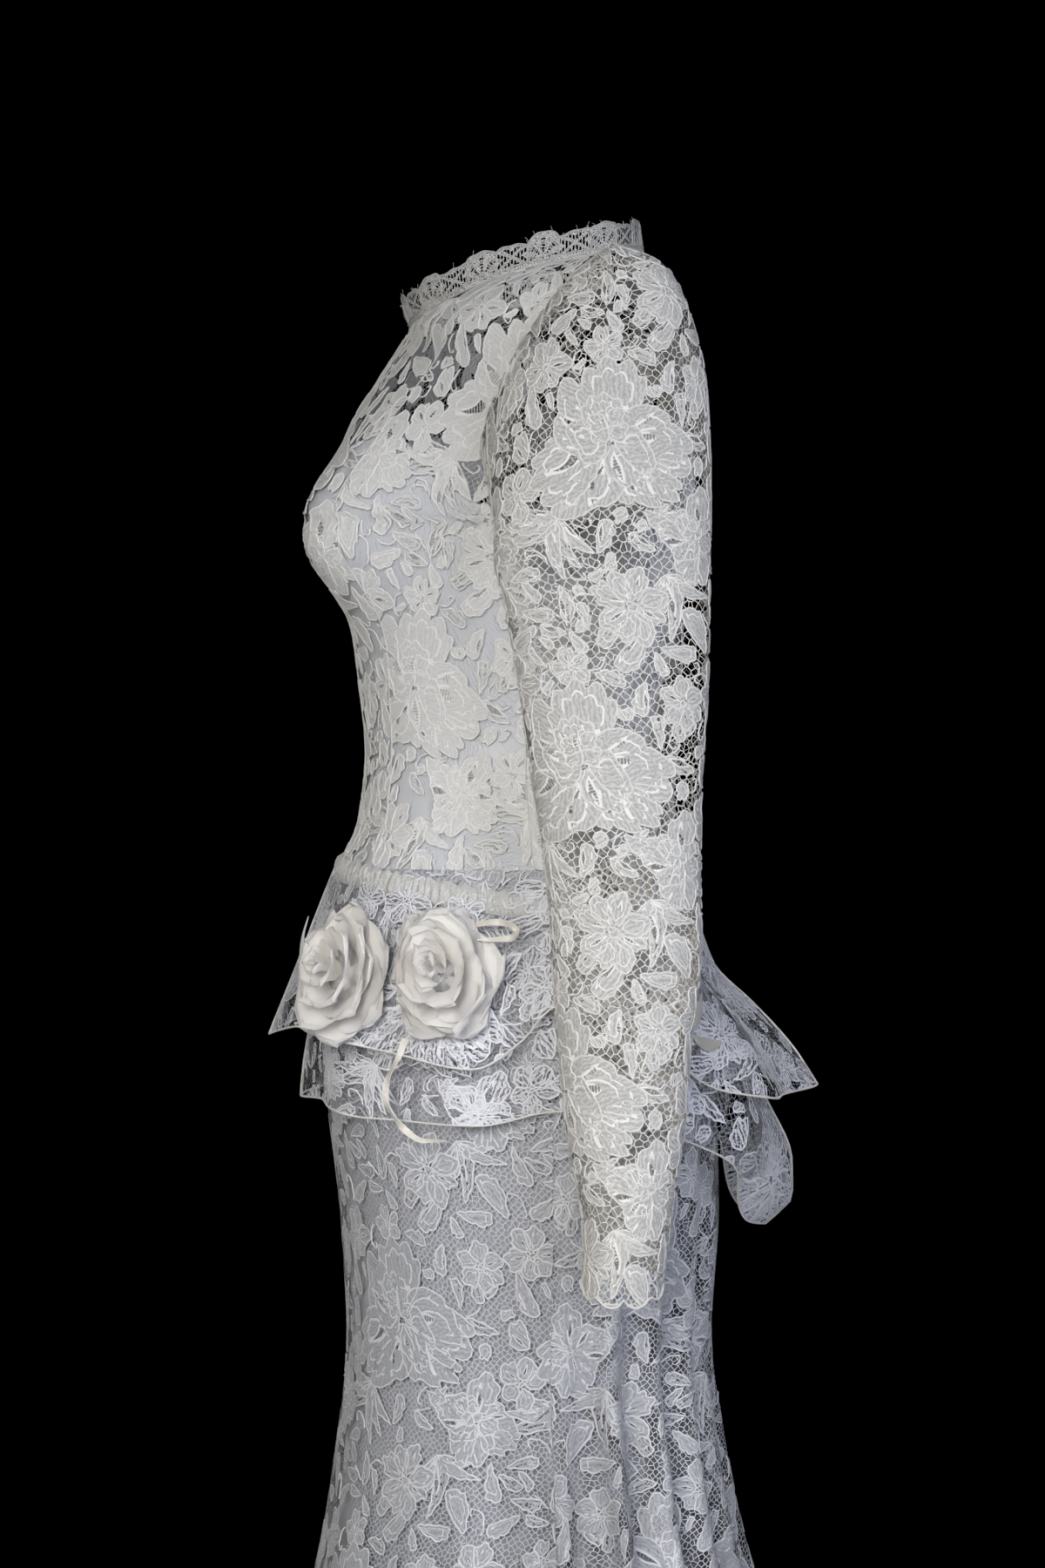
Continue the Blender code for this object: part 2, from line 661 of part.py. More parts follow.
def skirt_pieces():
    """Grids of the lace skirt: front, and two backs that part at the centre seam."""
    front = Grid([[skirt_point(z, t) for t in spread(0, 0.5, 10)] for z in SKIRT_LEVELS], (0.3, -1, 0), "lt")
    back = Grid([[skirt_point(z, t) for t in spread(1, 0.5, 20)] for z in SKIRT_LEVELS], (0.3, 1, 0), "flt")
    return {
        "skirt_front": [front, front.mirrored()],
        "skirt_back_left": [back],
        "skirt_back_right": [back.mirrored()],
    }


def underdress_skirt():
    """Grids of the satin slip skirt."""

    front, back = [
        Grid(
            [[ring(underdress_section, z, t) for t in spread(centre, 0.5, 9)] for z in UNDERDRESS_LEVELS],
            outward,
            loose,
        )
        for centre, outward, loose in ((0, (0.3, -1, 0), "lt"), (1, (0.3, 1, 0), "flt"))
    ]
    return {
        "slip_front": [front, front.mirrored()],
        "slip_back_left": [back],
        "slip_back_right": [back.mirrored()],
    }


# ---------------------------------------------------------------- sleeves
def armhole_loop():
    """The armhole from the shoulder tip down the front to the underarm and up the back, with each
    point's angle round the sleeve."""
    front = [OUTER["front"](v) for v in reversed(FRONT_ROWS) if v >= UNDERARM_V]
    back = [OUTER["back"](v) for v in BACK_ROWS if v > UNDERARM_V]
    loop, angles = [], []
    for side, points in enumerate((front, [front[-1], *back])):
        steps = [np.linalg.norm(b - a) for a, b in zip(points, points[1:])]
        run = np.concatenate([[0], np.cumsum(steps)]) / sum(steps)
        first = 1 if side else 0
        loop += points[first:]
        angles += [math.pi * (side + share) for share in run[first:]]
    return loop, angles


def tube_point(z, angle):
    x, y, half_x, half_y = sleeve_section(z)
    return np.array([x + half_x * math.cos(angle), y - half_y * math.sin(angle), z])


def cap_point(root, angle, share):
    """Point of the sleeve head between the armhole and the level SLEEVE_TOP."""
    end = tube_point(SLEEVE_TOP, angle)
    top = (1 + math.cos(angle)) / 2
    away = np.array([0.9, -0.50 * math.sin(angle), -0.25 + (0.25 + CAP_RISE) * top])
    away /= np.linalg.norm(away)
    puff = CAP_PUFF * (0.25 + 0.75 * top)
    fall = CAP_FALL_INNER + (CAP_FALL_OUTER - CAP_FALL_INNER) * top
    first, second = root + away * puff, end + np.array([0, 0, fall])
    s = share
    return (
        (1 - s) ** 3 * root + 3 * s * (1 - s) ** 2 * first + 3 * s * s * (1 - s) * second + s**3 * end
    )


def sleeve_grid():
    """The sleeve's grid: its head, its tube and its scalloped cuff."""
    loop, angles = armhole_loop()
    loop = [point + np.array([ARMHOLE_GAP, 0, 0]) for point in loop]
    rows = [[cap_point(p, angle, share) for p, angle in zip(loop, angles)] for share in CAP_ROWS]
    rows += [[tube_point(z, angle) for angle in angles] for z in SLEEVE_LEVELS]
    cuff = []
    for k, angle in enumerate(angles):
        point = tube_point(CUFF, angle)
        point[2] = CUFF - CUFF_DROP * math.cos(angle) + CUFF_SCALLOP * (-1) ** k
        cuff.append(point)
    cuff[-1] = cuff[0].copy()
    rows.append(cuff)
    return Grid(rows, (0, 1, 0), round_it=True)


# ---------------------------------------------------------------- peplum
def tier_point(table, t, s):
    """Outer surface of a peplum tier; s is 0 at its seam and 1 at its hem."""
    seam, hem, out, bustle = table(t)
    plain, *backs = fall(s)
    sprung = backs[0] if table is upper_tier else backs[1]
    z = seam + (hem - seam) * s
    wave_height = TIER_WAVE_FRONT + (TIER_WAVE_BACK - TIER_WAVE_FRONT) * max(0.0, 2 * t - 1)
    wave = wave_height * s**1.5 * math.cos(2 * math.pi * TIER_FLUTES * t)
    stand = TIER_CLEAR + out * (plain + (sprung - plain) * bustle) + wave
    base = ring(lace_section, z, t)
    return base + ring_outward(lace_section, z, t) * stand


upper_tier, lower_tier, fall = curve_of(UPPER_TIER), curve_of(LOWER_TIER), curve_of(FALLS)


def tier_grid(table):
    columns = spread(TIER_PARTING / 2, 1 - TIER_PARTING / 2, 30)
    rows = [row.s for row in FALLS]
    points = [[tier_point(table, t, s) for t in columns] for s in rows]
    return Grid(points, (1, 0, 0))


# ---------------------------------------------------------------- neck edging
def neck_line():
    """The neckline from the left centre back over the shoulder and front to the right centre back."""
    back = [INNER["back"](v) for v in BACK_ROWS if v >= BACK_NECK_V]
    front = [INNER["front"](v) for v in reversed(FRONT_ROWS) if v >= FRONT_NECK_V]
    left = back + front[1:]
    right = [p * np.array([-1, 1, 1]) for p in reversed(left[:-1])]
    return left + right


def neck_edging():
    """A scalloped band that stands on the neckline and parts at the centre back."""
    line = neck_line()
    run = np.concatenate([[0], np.cumsum([np.linalg.norm(b - a) for a, b in zip(line, line[1:])])])
    count = EDGING_SCALLOPS * EDGING_STEPS
    outer, inner = [[], [], []], [[], [], []]
    for k in range(count + 1):
        at = min(max(run[-1] * k / count, SEAM_GAP), run[-1] - SEAM_GAP)
        base = np.array([np.interp(at, run, [p[axis] for p in line]) for axis in range(3)])
        out = np.array([base[0], base[1] + 0.02, 0.0])
        out /= np.linalg.norm(out)
        lean = 0.10 - 0.25 * out[1]
        rise = np.array([out[0] * 0.12, out[1] * lean, 1.0])
        rise /= np.linalg.norm(rise)
        crest = EDGING_HEIGHT + EDGING_SCALLOP * abs(math.sin(math.pi * k / EDGING_STEPS)) ** 0.7
        for row, height in enumerate((0.0, EDGING_HEIGHT * 0.55, crest)):
            point = base + rise * (EDGING_LIFT + height)
            outer[row].append(point)
            inner[row].append(point - out * LACE)
    return solid_between("neck_edging", [(np.array(outer), np.array(inner))], "edging")


# ---------------------------------------------------------------- roses, leaf, ribbons, buttons
def on_tier(t, s, aside, up):
    """Point of the upper tier at a distance from (t, s), measured along and up the cloth."""
    step = 0.01
    here = tier_point(upper_tier, t, s)
    wide = np.linalg.norm(tier_point(upper_tier, t + step, s) - here) / step
    tall = np.linalg.norm(tier_point(upper_tier, t, s + step) - here) / step
    return tier_point(upper_tier, t + aside / wide, s - up / tall)


def rose(spec):
    """A closed lump with wrapped petals, seated on the upper tier."""
    side = on_tier(spec.t, spec.s, 0.01, 0) - on_tier(spec.t, spec.s, -0.01, 0)
    rise = on_tier(spec.t, spec.s, 0, 0.01) - on_tier(spec.t, spec.s, 0, -0.01)
    facing = np.cross(side, rise)
    facing /= np.linalg.norm(facing)
    front, back = [], []
    for ring_number in range(ROSE_RINGS + 1):
        share = ring_number / ROSE_RINGS
        front_row, back_row = [], []
        for step in range(ROSE_STEPS + 1):
            angle = 2 * math.pi * (step % ROSE_STEPS) / ROSE_STEPS
            edge = spec.radius * (1 + 0.07 * math.cos(ROSE_LOBES * angle + spec.turn))
            wrap = (share * ROSE_WRAPS - angle / (2 * math.pi) + spec.turn) % 1.0
            dome = 0.16 + 0.84 * (1 - share**2.2)
            petal = 0.16 * (wrap if ring_number else 0.5) * math.sin(math.pi * max(share, 0.12)) ** 0.5
            height = spec.thick * (dome - 0.10 + petal)
            aside, up = edge * share * math.cos(angle), spec.tall * edge * share * math.sin(angle)
            base = on_tier(spec.t, spec.s, aside, up)
            back_row.append(base + facing * 2 * SEAM_GAP)
            front_row.append(base + facing * (2 * SEAM_GAP + height))
        front.append(front_row)
        back.append(back_row)
    return solid_between(spec.name, [(np.array(front), np.array(back))], "organza")


def ribbon(name, stops, finish_name="ribbon", width=RIBBON_WIDTH, pointed=False):
    """A flat strip that follows its stops with its flat side to the body; a pointed one is a leaf."""
    path = curve_of([(k, *stop) for k, stop in enumerate(stops)])
    last = len(stops) - 1

    def place(k):
        t, z, out = path(min(max(k, 0), last))
        facing = ring_outward(lace_section, z, t)
        return ring(lace_section, z, t) + facing * out, facing

    front, back = [], []
    for k in spread(0, last, 2 * last):
        centre, facing = place(k)
        across = np.cross(place(k + 0.05)[0] - place(k - 0.05)[0], facing)
        share = 0.06 + 0.88 * k / last
        half = width / 2 * (math.sin(math.pi * share) if pointed else 1)
        across *= half / np.linalg.norm(across)
        front.append([centre - across, centre + across])
        back.append([point - facing * RIBBON_THICK for point in front[-1]])
    return solid_between(name, [(np.array(front), np.array(back))], finish_name)


def buttons():
    """Covered buttons over the centre back seam of the yoke."""
    for k in range(BUTTONS):
        v = BUTTON_TOP_V + (BUTTON_BOTTOM_V - BUTTON_TOP_V) * k / (BUTTONS - 1)
        here, above = body("back", v, 0), body("back", v + 0.02, 0)
        out = Vector(np.cross(above - here, (1, 0, 0))).normalized()
        if out.y < 0:
            out = -out
        dome = bmesh.new()
        bmesh.ops.create_uvsphere(dome, u_segments=10, v_segments=4, radius=BUTTON_RADIUS)
        bmesh.ops.scale(dome, vec=(1, 1, BUTTON_HALF_THICK / BUTTON_RADIUS), verts=dome.verts)
        mesh = bpy.data.meshes.new(f"button_{k + 1:02d}")
        dome.to_mesh(mesh)
        dome.free()
        piece = finish(mesh.name, mesh, "button")
        piece.location = Vector(here) + out * (BUTTON_HALF_THICK + BUTTON_LIFT)
        piece.rotation_euler = out.to_track_quat("Z", "Y").to_euler()


# ---------------------------------------------------------------- the whole dress
def clear_scene():
    for thing in list(bpy.data.objects):
        bpy.data.objects.remove(thing)
    dress = bpy.data.collections.new("wedding_dress")
    bpy.context.scene.collection.children.link(dress)


def main():
    clear_scene()
    sleeve = sleeve_grid()
    lace = {
        **bodice_pieces(),
        **skirt_pieces(),
        "sleeve_left": [sleeve],
        "sleeve_right": [sleeve.mirrored()],
    }
    satin = {**underdress_bodice(), **underdress_skirt()}
    for layer, thickness, finish_name in ((lace, LACE, "lace"), (satin, SATIN, "satin")):
        share_normals([grid for grids in layer.values() for grid in grids])
        for name, grids in layer.items():
            wall(name, grids, thickness, finish_name)
    for name, table in (("peplum_upper", upper_tier), ("peplum_lower", lower_tier)):
        tier = tier_grid(table)
        wall(name + "_left", [tier], LACE, "lace")
        wall(name + "_right", [tier.mirrored()], LACE, "lace")
    neck_edging()
    for spec in ROSES:
        rose(spec)
    ribbon("rose_leaf", ROSE_LEAF, "organza", LEAF_WIDTH, pointed=True)
    ribbon("ribbon_tail", RIBBON_TAIL)
    ribbon("ribbon_loop", RIBBON_LOOP)
    buttons()


main()
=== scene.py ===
"""Finish of the wedding dress: corded floral lace over satin, with organza roses and ribbons.

Metres, +Z up. The front faces -Y and the wearer's left is +X. Every piece of cloth is a fine grid on
the form of the solid that it replaces, with its own flat pattern coordinates in metres, and the
flowers of the lace are charted once, flat, and laid on each piece by those coordinates.
"""

import logging
import math
from dataclasses import dataclass
from enum import Enum
from itertools import product
from typing import Callable, Sequence

import bmesh
import bpy
import numpy as np
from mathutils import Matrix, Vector


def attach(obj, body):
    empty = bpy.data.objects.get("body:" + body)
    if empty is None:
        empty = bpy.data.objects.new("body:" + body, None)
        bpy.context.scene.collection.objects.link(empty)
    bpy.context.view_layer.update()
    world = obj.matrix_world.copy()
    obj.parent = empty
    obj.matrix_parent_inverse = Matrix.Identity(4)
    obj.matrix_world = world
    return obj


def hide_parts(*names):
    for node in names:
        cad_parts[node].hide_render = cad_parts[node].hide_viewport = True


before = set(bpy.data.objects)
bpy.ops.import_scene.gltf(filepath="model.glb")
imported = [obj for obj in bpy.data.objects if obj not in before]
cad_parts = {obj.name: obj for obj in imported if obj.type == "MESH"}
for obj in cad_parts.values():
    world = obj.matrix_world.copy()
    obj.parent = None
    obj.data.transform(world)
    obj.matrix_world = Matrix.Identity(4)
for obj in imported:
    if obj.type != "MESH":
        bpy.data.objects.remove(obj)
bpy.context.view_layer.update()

LOG = logging.getLogger("wedding_dress")
Array, Material, Object, Socket = np.ndarray, bpy.types.Material, bpy.types.Object, bpy.types.NodeSocket
Spot = tuple[float, float]
TAU = 2 * math.pi
MIRROR = np.array([-1.0, 1.0, 1.0])


def table(columns: int, *numbers: float) -> Array:
    """Rows of so many columns."""
    return np.reshape(np.array(numbers, float), (-1, columns))


def join(parts: Sequence[Sequence[Array]]) -> list[Array]:
    """The arrays of all parts joined, first with first and so on."""
    return [np.concatenate(arrays) for arrays in zip(*parts)]


def stack(*columns: Array) -> Array:
    """Columns side by side along a new last axis."""
    return np.stack(columns, -1)


def alike(*values: Array | float) -> list[Array]:
    """Numbers brought to one shape."""
    return np.broadcast_arrays(*(np.asarray(value, float) for value in values))


def run_along(line: Array) -> Array:
    """How far along a line each of its points lies."""
    return np.append(0, np.cumsum(np.linalg.norm(np.diff(line, axis=0), axis=1)))


def read(at: Array, knots: Array, rows: Array) -> Array:
    """Rows read between their knots."""
    return stack(*(np.interp(at, knots, column) for column in rows.T))


# ---------------------------------------------------------------- sizes of the cut pieces
SATIN_THICK = 0.001
NET_IN = 0.0006  # the net lies this far inside the outside of its solid
LINING_IN = 0.0027  # the satin under the bodice
YOKE_BASE = -0.235  # below this height the body is a stack of level sections
WAIST_SEAM = -0.408
HEM = -1.4
UNDERDRESS_HEM = -1.33
PRINCESS = 0.42
CUP_APEX_X, CUP_APEX_Z, CUP_DEPTH = 0.08, -0.187, 0.04
CUP_WIDE, CUP_UP, CUP_DOWN = 0.048, 0.062, 0.048
ROUNDNESS = 0.889
SLEEVE_TOP, CUFF, CUFF_DROP, CUFF_SCALLOP, CUFF_LOBES = -0.215, -0.663, 0.01, 0.003, 9
CAP_PUFF, CAP_RISE, CAP_FALL_OUTER, CAP_FALL_INNER = 0.046, 0.36, 0.09, 0.012
FRONT_NECK_V, BACK_NECK_V, UNDERARM_V = 0.62, 0.86, 0.213
TIER_FLUTES, TIER_WAVE_FRONT, TIER_WAVE_BACK = 5, 0.0045, 0.008
TIER_PARTING, TIER_CLEAR = 0.01, 0.002
FRONT_FOLDS, BACK_FOLDS = 3, 5
FLOOR_DROP, FLOOR_RADIUS = 0.0015, 2.2
# Turn, height and stand from the body of the points that each ribbon and the leaf follow.
RIBBON_TAIL = table(3,
    0.334, -0.516, 0.0216, 0.328, -0.526, 0.024, 0.318, -0.536, 0.0255, 0.31, -0.546, 0.0252,
    0.308, -0.556, 0.0245, 0.314, -0.566, 0.022, 0.328, -0.575, 0.02, 0.352, -0.5815, 0.019,
    0.382, -0.5815, 0.0185)
RIBBON_LOOP = table(3,
    0.428, -0.442, 0.018, 0.452, -0.4405, 0.0215, 0.468, -0.442, 0.0225, 0.476, -0.446, 0.0215,
    0.47, -0.4505, 0.0205, 0.452, -0.4515, 0.0205, 0.4298, -0.452, 0.02)
ROSE_LEAF = table(3,
    0.115, -0.492, 0.0221, 0.1, -0.476, 0.0232, 0.085, -0.459, 0.0225, 0.07, -0.442, 0.019)
BACK_PETALS = (
    table(3, 0.718, -0.513, 0.0235, 0.732, -0.505, 0.024, 0.746, -0.497, 0.024, 0.76, -0.489, 0.0235),
    table(3, 0.716, -0.515, 0.024, 0.728, -0.52, 0.027, 0.742, -0.522, 0.03, 0.756, -0.52, 0.0325),
)
# Level sections: z, y of the front and the back, half the width, y of the side seam.
LACE_SECTIONS = table(5,
    -1.4, -0.3, 0.46, 0.39, 0.06, -1.25, -0.25, 0.335, 0.312, 0.035,
    -1.08, -0.204, 0.222, 0.238, 0.015, -0.892, -0.166, 0.127, 0.18, 0,
    -0.8, -0.151, 0.108, 0.166, -0.004, -0.73, -0.1445, 0.1, 0.163, -0.006,
    -0.64, -0.15, 0.107, 0.168, -0.004, -0.54, -0.16, 0.108, 0.172, -0.004,
    -0.47, -0.156, 0.095, 0.166, -0.01, -0.408, -0.149, 0.079, 0.15, -0.016,
    -0.376, -0.137, 0.068, 0.135, -0.02, -0.33, -0.132, 0.062, 0.124, -0.022,
    -0.27, -0.138, 0.075, 0.132, -0.012, -0.235, -0.141, 0.085, 0.14, -0.004,
    -0.185, -0.155, 0.091, 0.152, 0.01)
UNDERDRESS_SECTIONS = table(5,
    -1.33, -0.215, 0.25, 0.275, 0.02, -1.1, -0.178, 0.16, 0.205, 0,
    -0.892, -0.155, 0.108, 0.163, -0.008, -0.73, -0.141, 0.088, 0.155, -0.012,
    -0.64, -0.145, 0.096, 0.162, -0.01, -0.54, -0.1555, 0.1005, 0.167, -0.006,
    -0.47, -0.1525, 0.09, 0.1625, -0.01, -0.408, -0.1463, 0.0763, 0.1473, -0.016)
# Yoke edges: v, from YOKE_BASE (0) to the shoulder seam (1), and x, y, z.
FRONT_CENTRE = table(4,
    0.07, 0, -0.147, -0.212, 0.14, 0, -0.152, -0.19, 0.21, 0, -0.1545, -0.17,
    0.285, 0, -0.1545, -0.148, 0.36, 0, -0.149, -0.124, 0.435, 0, -0.14, -0.1,
    0.51, 0, -0.125, -0.076, 0.582, 0, -0.11, -0.052, FRONT_NECK_V, 0, -0.102, -0.04)
FRONT_NECK = table(4,
    FRONT_NECK_V, 0, -0.102, -0.04, 0.7, 0.037, -0.097, -0.0378, 0.78, 0.067, -0.078, -0.0295,
    0.86, 0.087, -0.044, -0.0165, 0.93, 0.095, -0.011, -0.0075, 1, 0.095, 0.019, -0.0015)
BACK_CENTRE = table(4,
    0.12, 0, 0.089, -0.207, 0.22, 0, 0.0925, -0.18, 0.38, 0, 0.0945, -0.14, 0.54, 0, 0.091, -0.095,
    0.68, 0, 0.085, -0.05, 0.78, 0, 0.075, -0.016, BACK_NECK_V, 0, 0.06, 0.0095)
BACK_NECK = table(4,
    BACK_NECK_V, 0, 0.06, 0.0095, 0.895, 0.035, 0.058, 0.0085, 0.93, 0.065, 0.05, 0.006,
    0.965, 0.085, 0.036, 0.002, 1, 0.095, 0.019, -0.0015)
SIDE_SEAM = table(4,
    0.11, 0.147, 0.004, -0.209, UNDERARM_V, 0.152, 0.01, -0.185)
FRONT_ARMHOLE = table(4,
    UNDERARM_V, 0.152, 0.01, -0.185, 0.25, 0.1515, -0.014, -0.1815, 0.29, 0.15, -0.034, -0.171,
    0.35, 0.149, -0.046, -0.153, 0.43, 0.149, -0.049, -0.133, 0.52, 0.15, -0.0435, -0.112,
    0.61, 0.152, -0.034, -0.092, 0.7, 0.156, -0.0225, -0.0705, 0.8, 0.163, -0.007, -0.0475,
    0.9, 0.171, 0.0125, -0.0235, 1, 0.178, 0.0345, -0.0075)
BACK_ARMHOLE = table(4,
    UNDERARM_V, 0.152, 0.01, -0.185, 0.25, 0.153, 0.033, -0.1815, 0.31, 0.156, 0.058, -0.168,
    0.4, 0.159, 0.075, -0.143, 0.5, 0.162, 0.084, -0.115, 0.62, 0.165, 0.085, -0.083,
    0.75, 0.169, 0.079, -0.049, 0.88, 0.174, 0.065, -0.02, 1, 0.178, 0.0345, -0.0075)
# The princess seam: v, and the share of the way from the centre to the side that it keeps.
PRINCESS_SEAM = table(2,
    -0.75, PRINCESS, -0.3, PRINCESS, 0, 0.46, 0.11, 0.45, 0.213, 0.44, 0.25, 0.455, 0.29, 0.49,
    0.35, 0.52, 0.43, 0.54, 0.62, 0.56, 0.7, 0.46, 0.78, 0.38, 0.86, 0.34, 0.93, 0.36, 1, PRINCESS)
# Top edge of the underdress: share of the way from the centre to the side, and v.
SWEETHEART = table(2,
    0, 0.295, 0.2, 0.36, 0.45, 0.432, 0.62, 0.41, 0.74, 0.345, 0.88, 0.29, 1, 0.205)
UNDERDRESS_BACK_TOP = 0.205
# Level sections of the sleeve: z, centre x and y, half sizes in x and y.
SLEEVE = table(5,
    -0.66, 0.243, 0.0385, 0.03, 0.0258, -0.627, 0.24, 0.041, 0.0305, 0.028,
    -0.572, 0.236, 0.0404, 0.031, 0.0369, -0.517, 0.232, 0.0401, 0.0315, 0.0421,
    -0.462, 0.2265, 0.0415, 0.032, 0.0473, -0.407, 0.22, 0.0393, 0.0325, 0.0495,
    -0.352, 0.214, 0.036, 0.033, 0.054, -0.297, 0.208, 0.034, 0.0335, 0.0597,
    -0.242, 0.202, 0.03, 0.034, 0.0655, -0.215, 0.199, 0.027, 0.034, 0.069)
# Peplum tiers: turn from the centre front (0) to the back (1), seam, hem, flare and bustle.
UPPER_TIER = table(5,
    0, -0.4, -0.524, 0.033, 0, 0.12, -0.402, -0.514, 0.027, 0, 0.33, -0.409, -0.527, 0.022, 0,
    0.42, -0.412, -0.534, 0.02, 0, 0.47, -0.413, -0.517, 0.019, 0, 0.51, -0.414, -0.494, 0.017, 0,
    0.6, -0.414, -0.502, 0.018, 0, 0.75, -0.412, -0.552, 0.036, 0.3, 0.87, -0.41, -0.56, 0.052, 1,
    1, -0.408, -0.558, 0.062, 1)
LOWER_TIER = table(5,
    0, -0.434, -0.566, 0.012, 0, 0.12, -0.434, -0.563, 0.011, 0, 0.25, -0.434, -0.57, 0.011, 0,
    0.42, -0.436, -0.571, 0.011, 0, 0.51, -0.438, -0.562, 0.01, 0, 0.6, -0.438, -0.564, 0.01, 0,
    0.73, -0.436, -0.586, 0.02, 0.2, 0.85, -0.434, -0.618, 0.038, 1, 0.93, -0.432, -0.648, 0.047, 1,
    1, -0.43, -0.655, 0.047, 1)
# Stand at a share of the fall, as shares of the flare: plain, bustle of the upper and lower tier.
FALLS = table(4,
    0, 0, 0, 0, 0.24, 0.22, 0.07, 0.07, 0.44, 0.41, 0.12, 0.26, 0.62, 0.59, 0.42, 0.66,
    0.8, 0.78, 0.72, 0.99, 0.91, 0.9, 0.88, 0.98, 1, 1, 1, 0.58)
# Height of the skirt's waves at each level: z, front, back.
FOLDS = table(3,
    -1.4, 0.016, 0.026, -1.15, 0.008, 0.017, -0.892, 0.0016, 0.0095, -0.7, 0.0004, 0.006,
    -0.56, 0, 0.0022, -0.408, 0, 0)


# ---------------------------------------------------------------- the form of the dress
class Curve:
    """A smooth curve through a table that never overshoots its rows; the first column is the knot."""

    def __init__(self, rows: Sequence[Sequence[float]]) -> None:
        """Fits the curve to the rows of a table."""
        rows = np.array(sorted(tuple(row) for row in rows), float)
        self.knots, self.values = rows[:, 0], rows[:, 1:]
        slope = np.diff(self.values, axis=0) / np.diff(self.knots)[:, None]
        self.tangent = np.zeros_like(self.values)
        self.tangent[0], self.tangent[-1] = slope[0], slope[-1]
        product, total = slope[:-1] * slope[1:], slope[:-1] + slope[1:]
        total = np.where(product > 0, total, 1.0)
        self.tangent[1:-1] = np.where(product > 0, 2 * product / total, 0.0)

    def __call__(self, at: Array | float) -> Array:
        """Values at knots of any shape.

        Args:
            at: where to read the curve, in the first column's unit.

        Returns:
            An array shaped like at, with the table's other columns as its last axis.
        """
        t = np.clip(np.asarray(at, float), self.knots[0], self.knots[-1])
        i = np.clip(np.searchsorted(self.knots, t, side="right") - 1, 0, len(self.knots) - 2)
        width = (self.knots[i + 1] - self.knots[i])[..., None]
        u = (t - self.knots[i])[..., None] / width
        low, high = self.values[i], self.values[i + 1]
        rise, fall = self.tangent[i] * width, self.tangent[i + 1] * width
        return (
            (1 + 2 * u) * (1 - u) ** 2 * low
            + u * (1 - u) ** 2 * rise
            + u * u * (3 - 2 * u) * high
            + u * u * (u - 1) * fall
        )


def unit(vectors: Array) -> Array:
    """Vectors along the last axis, made one long."""
    return vectors / np.maximum(np.linalg.norm(vectors, axis=-1, keepdims=True), 1e-12)


def ease(share: Array) -> Array:
    """A soft step from 0 to 1."""
    share = np.clip(share, 0.0, 1.0)
    return share * share * (3 - 2 * share)


class Face(Enum):
    """The two faces of the body, each with the turn of its centre line."""

    FRONT = 0.0
    BACK = 1.0


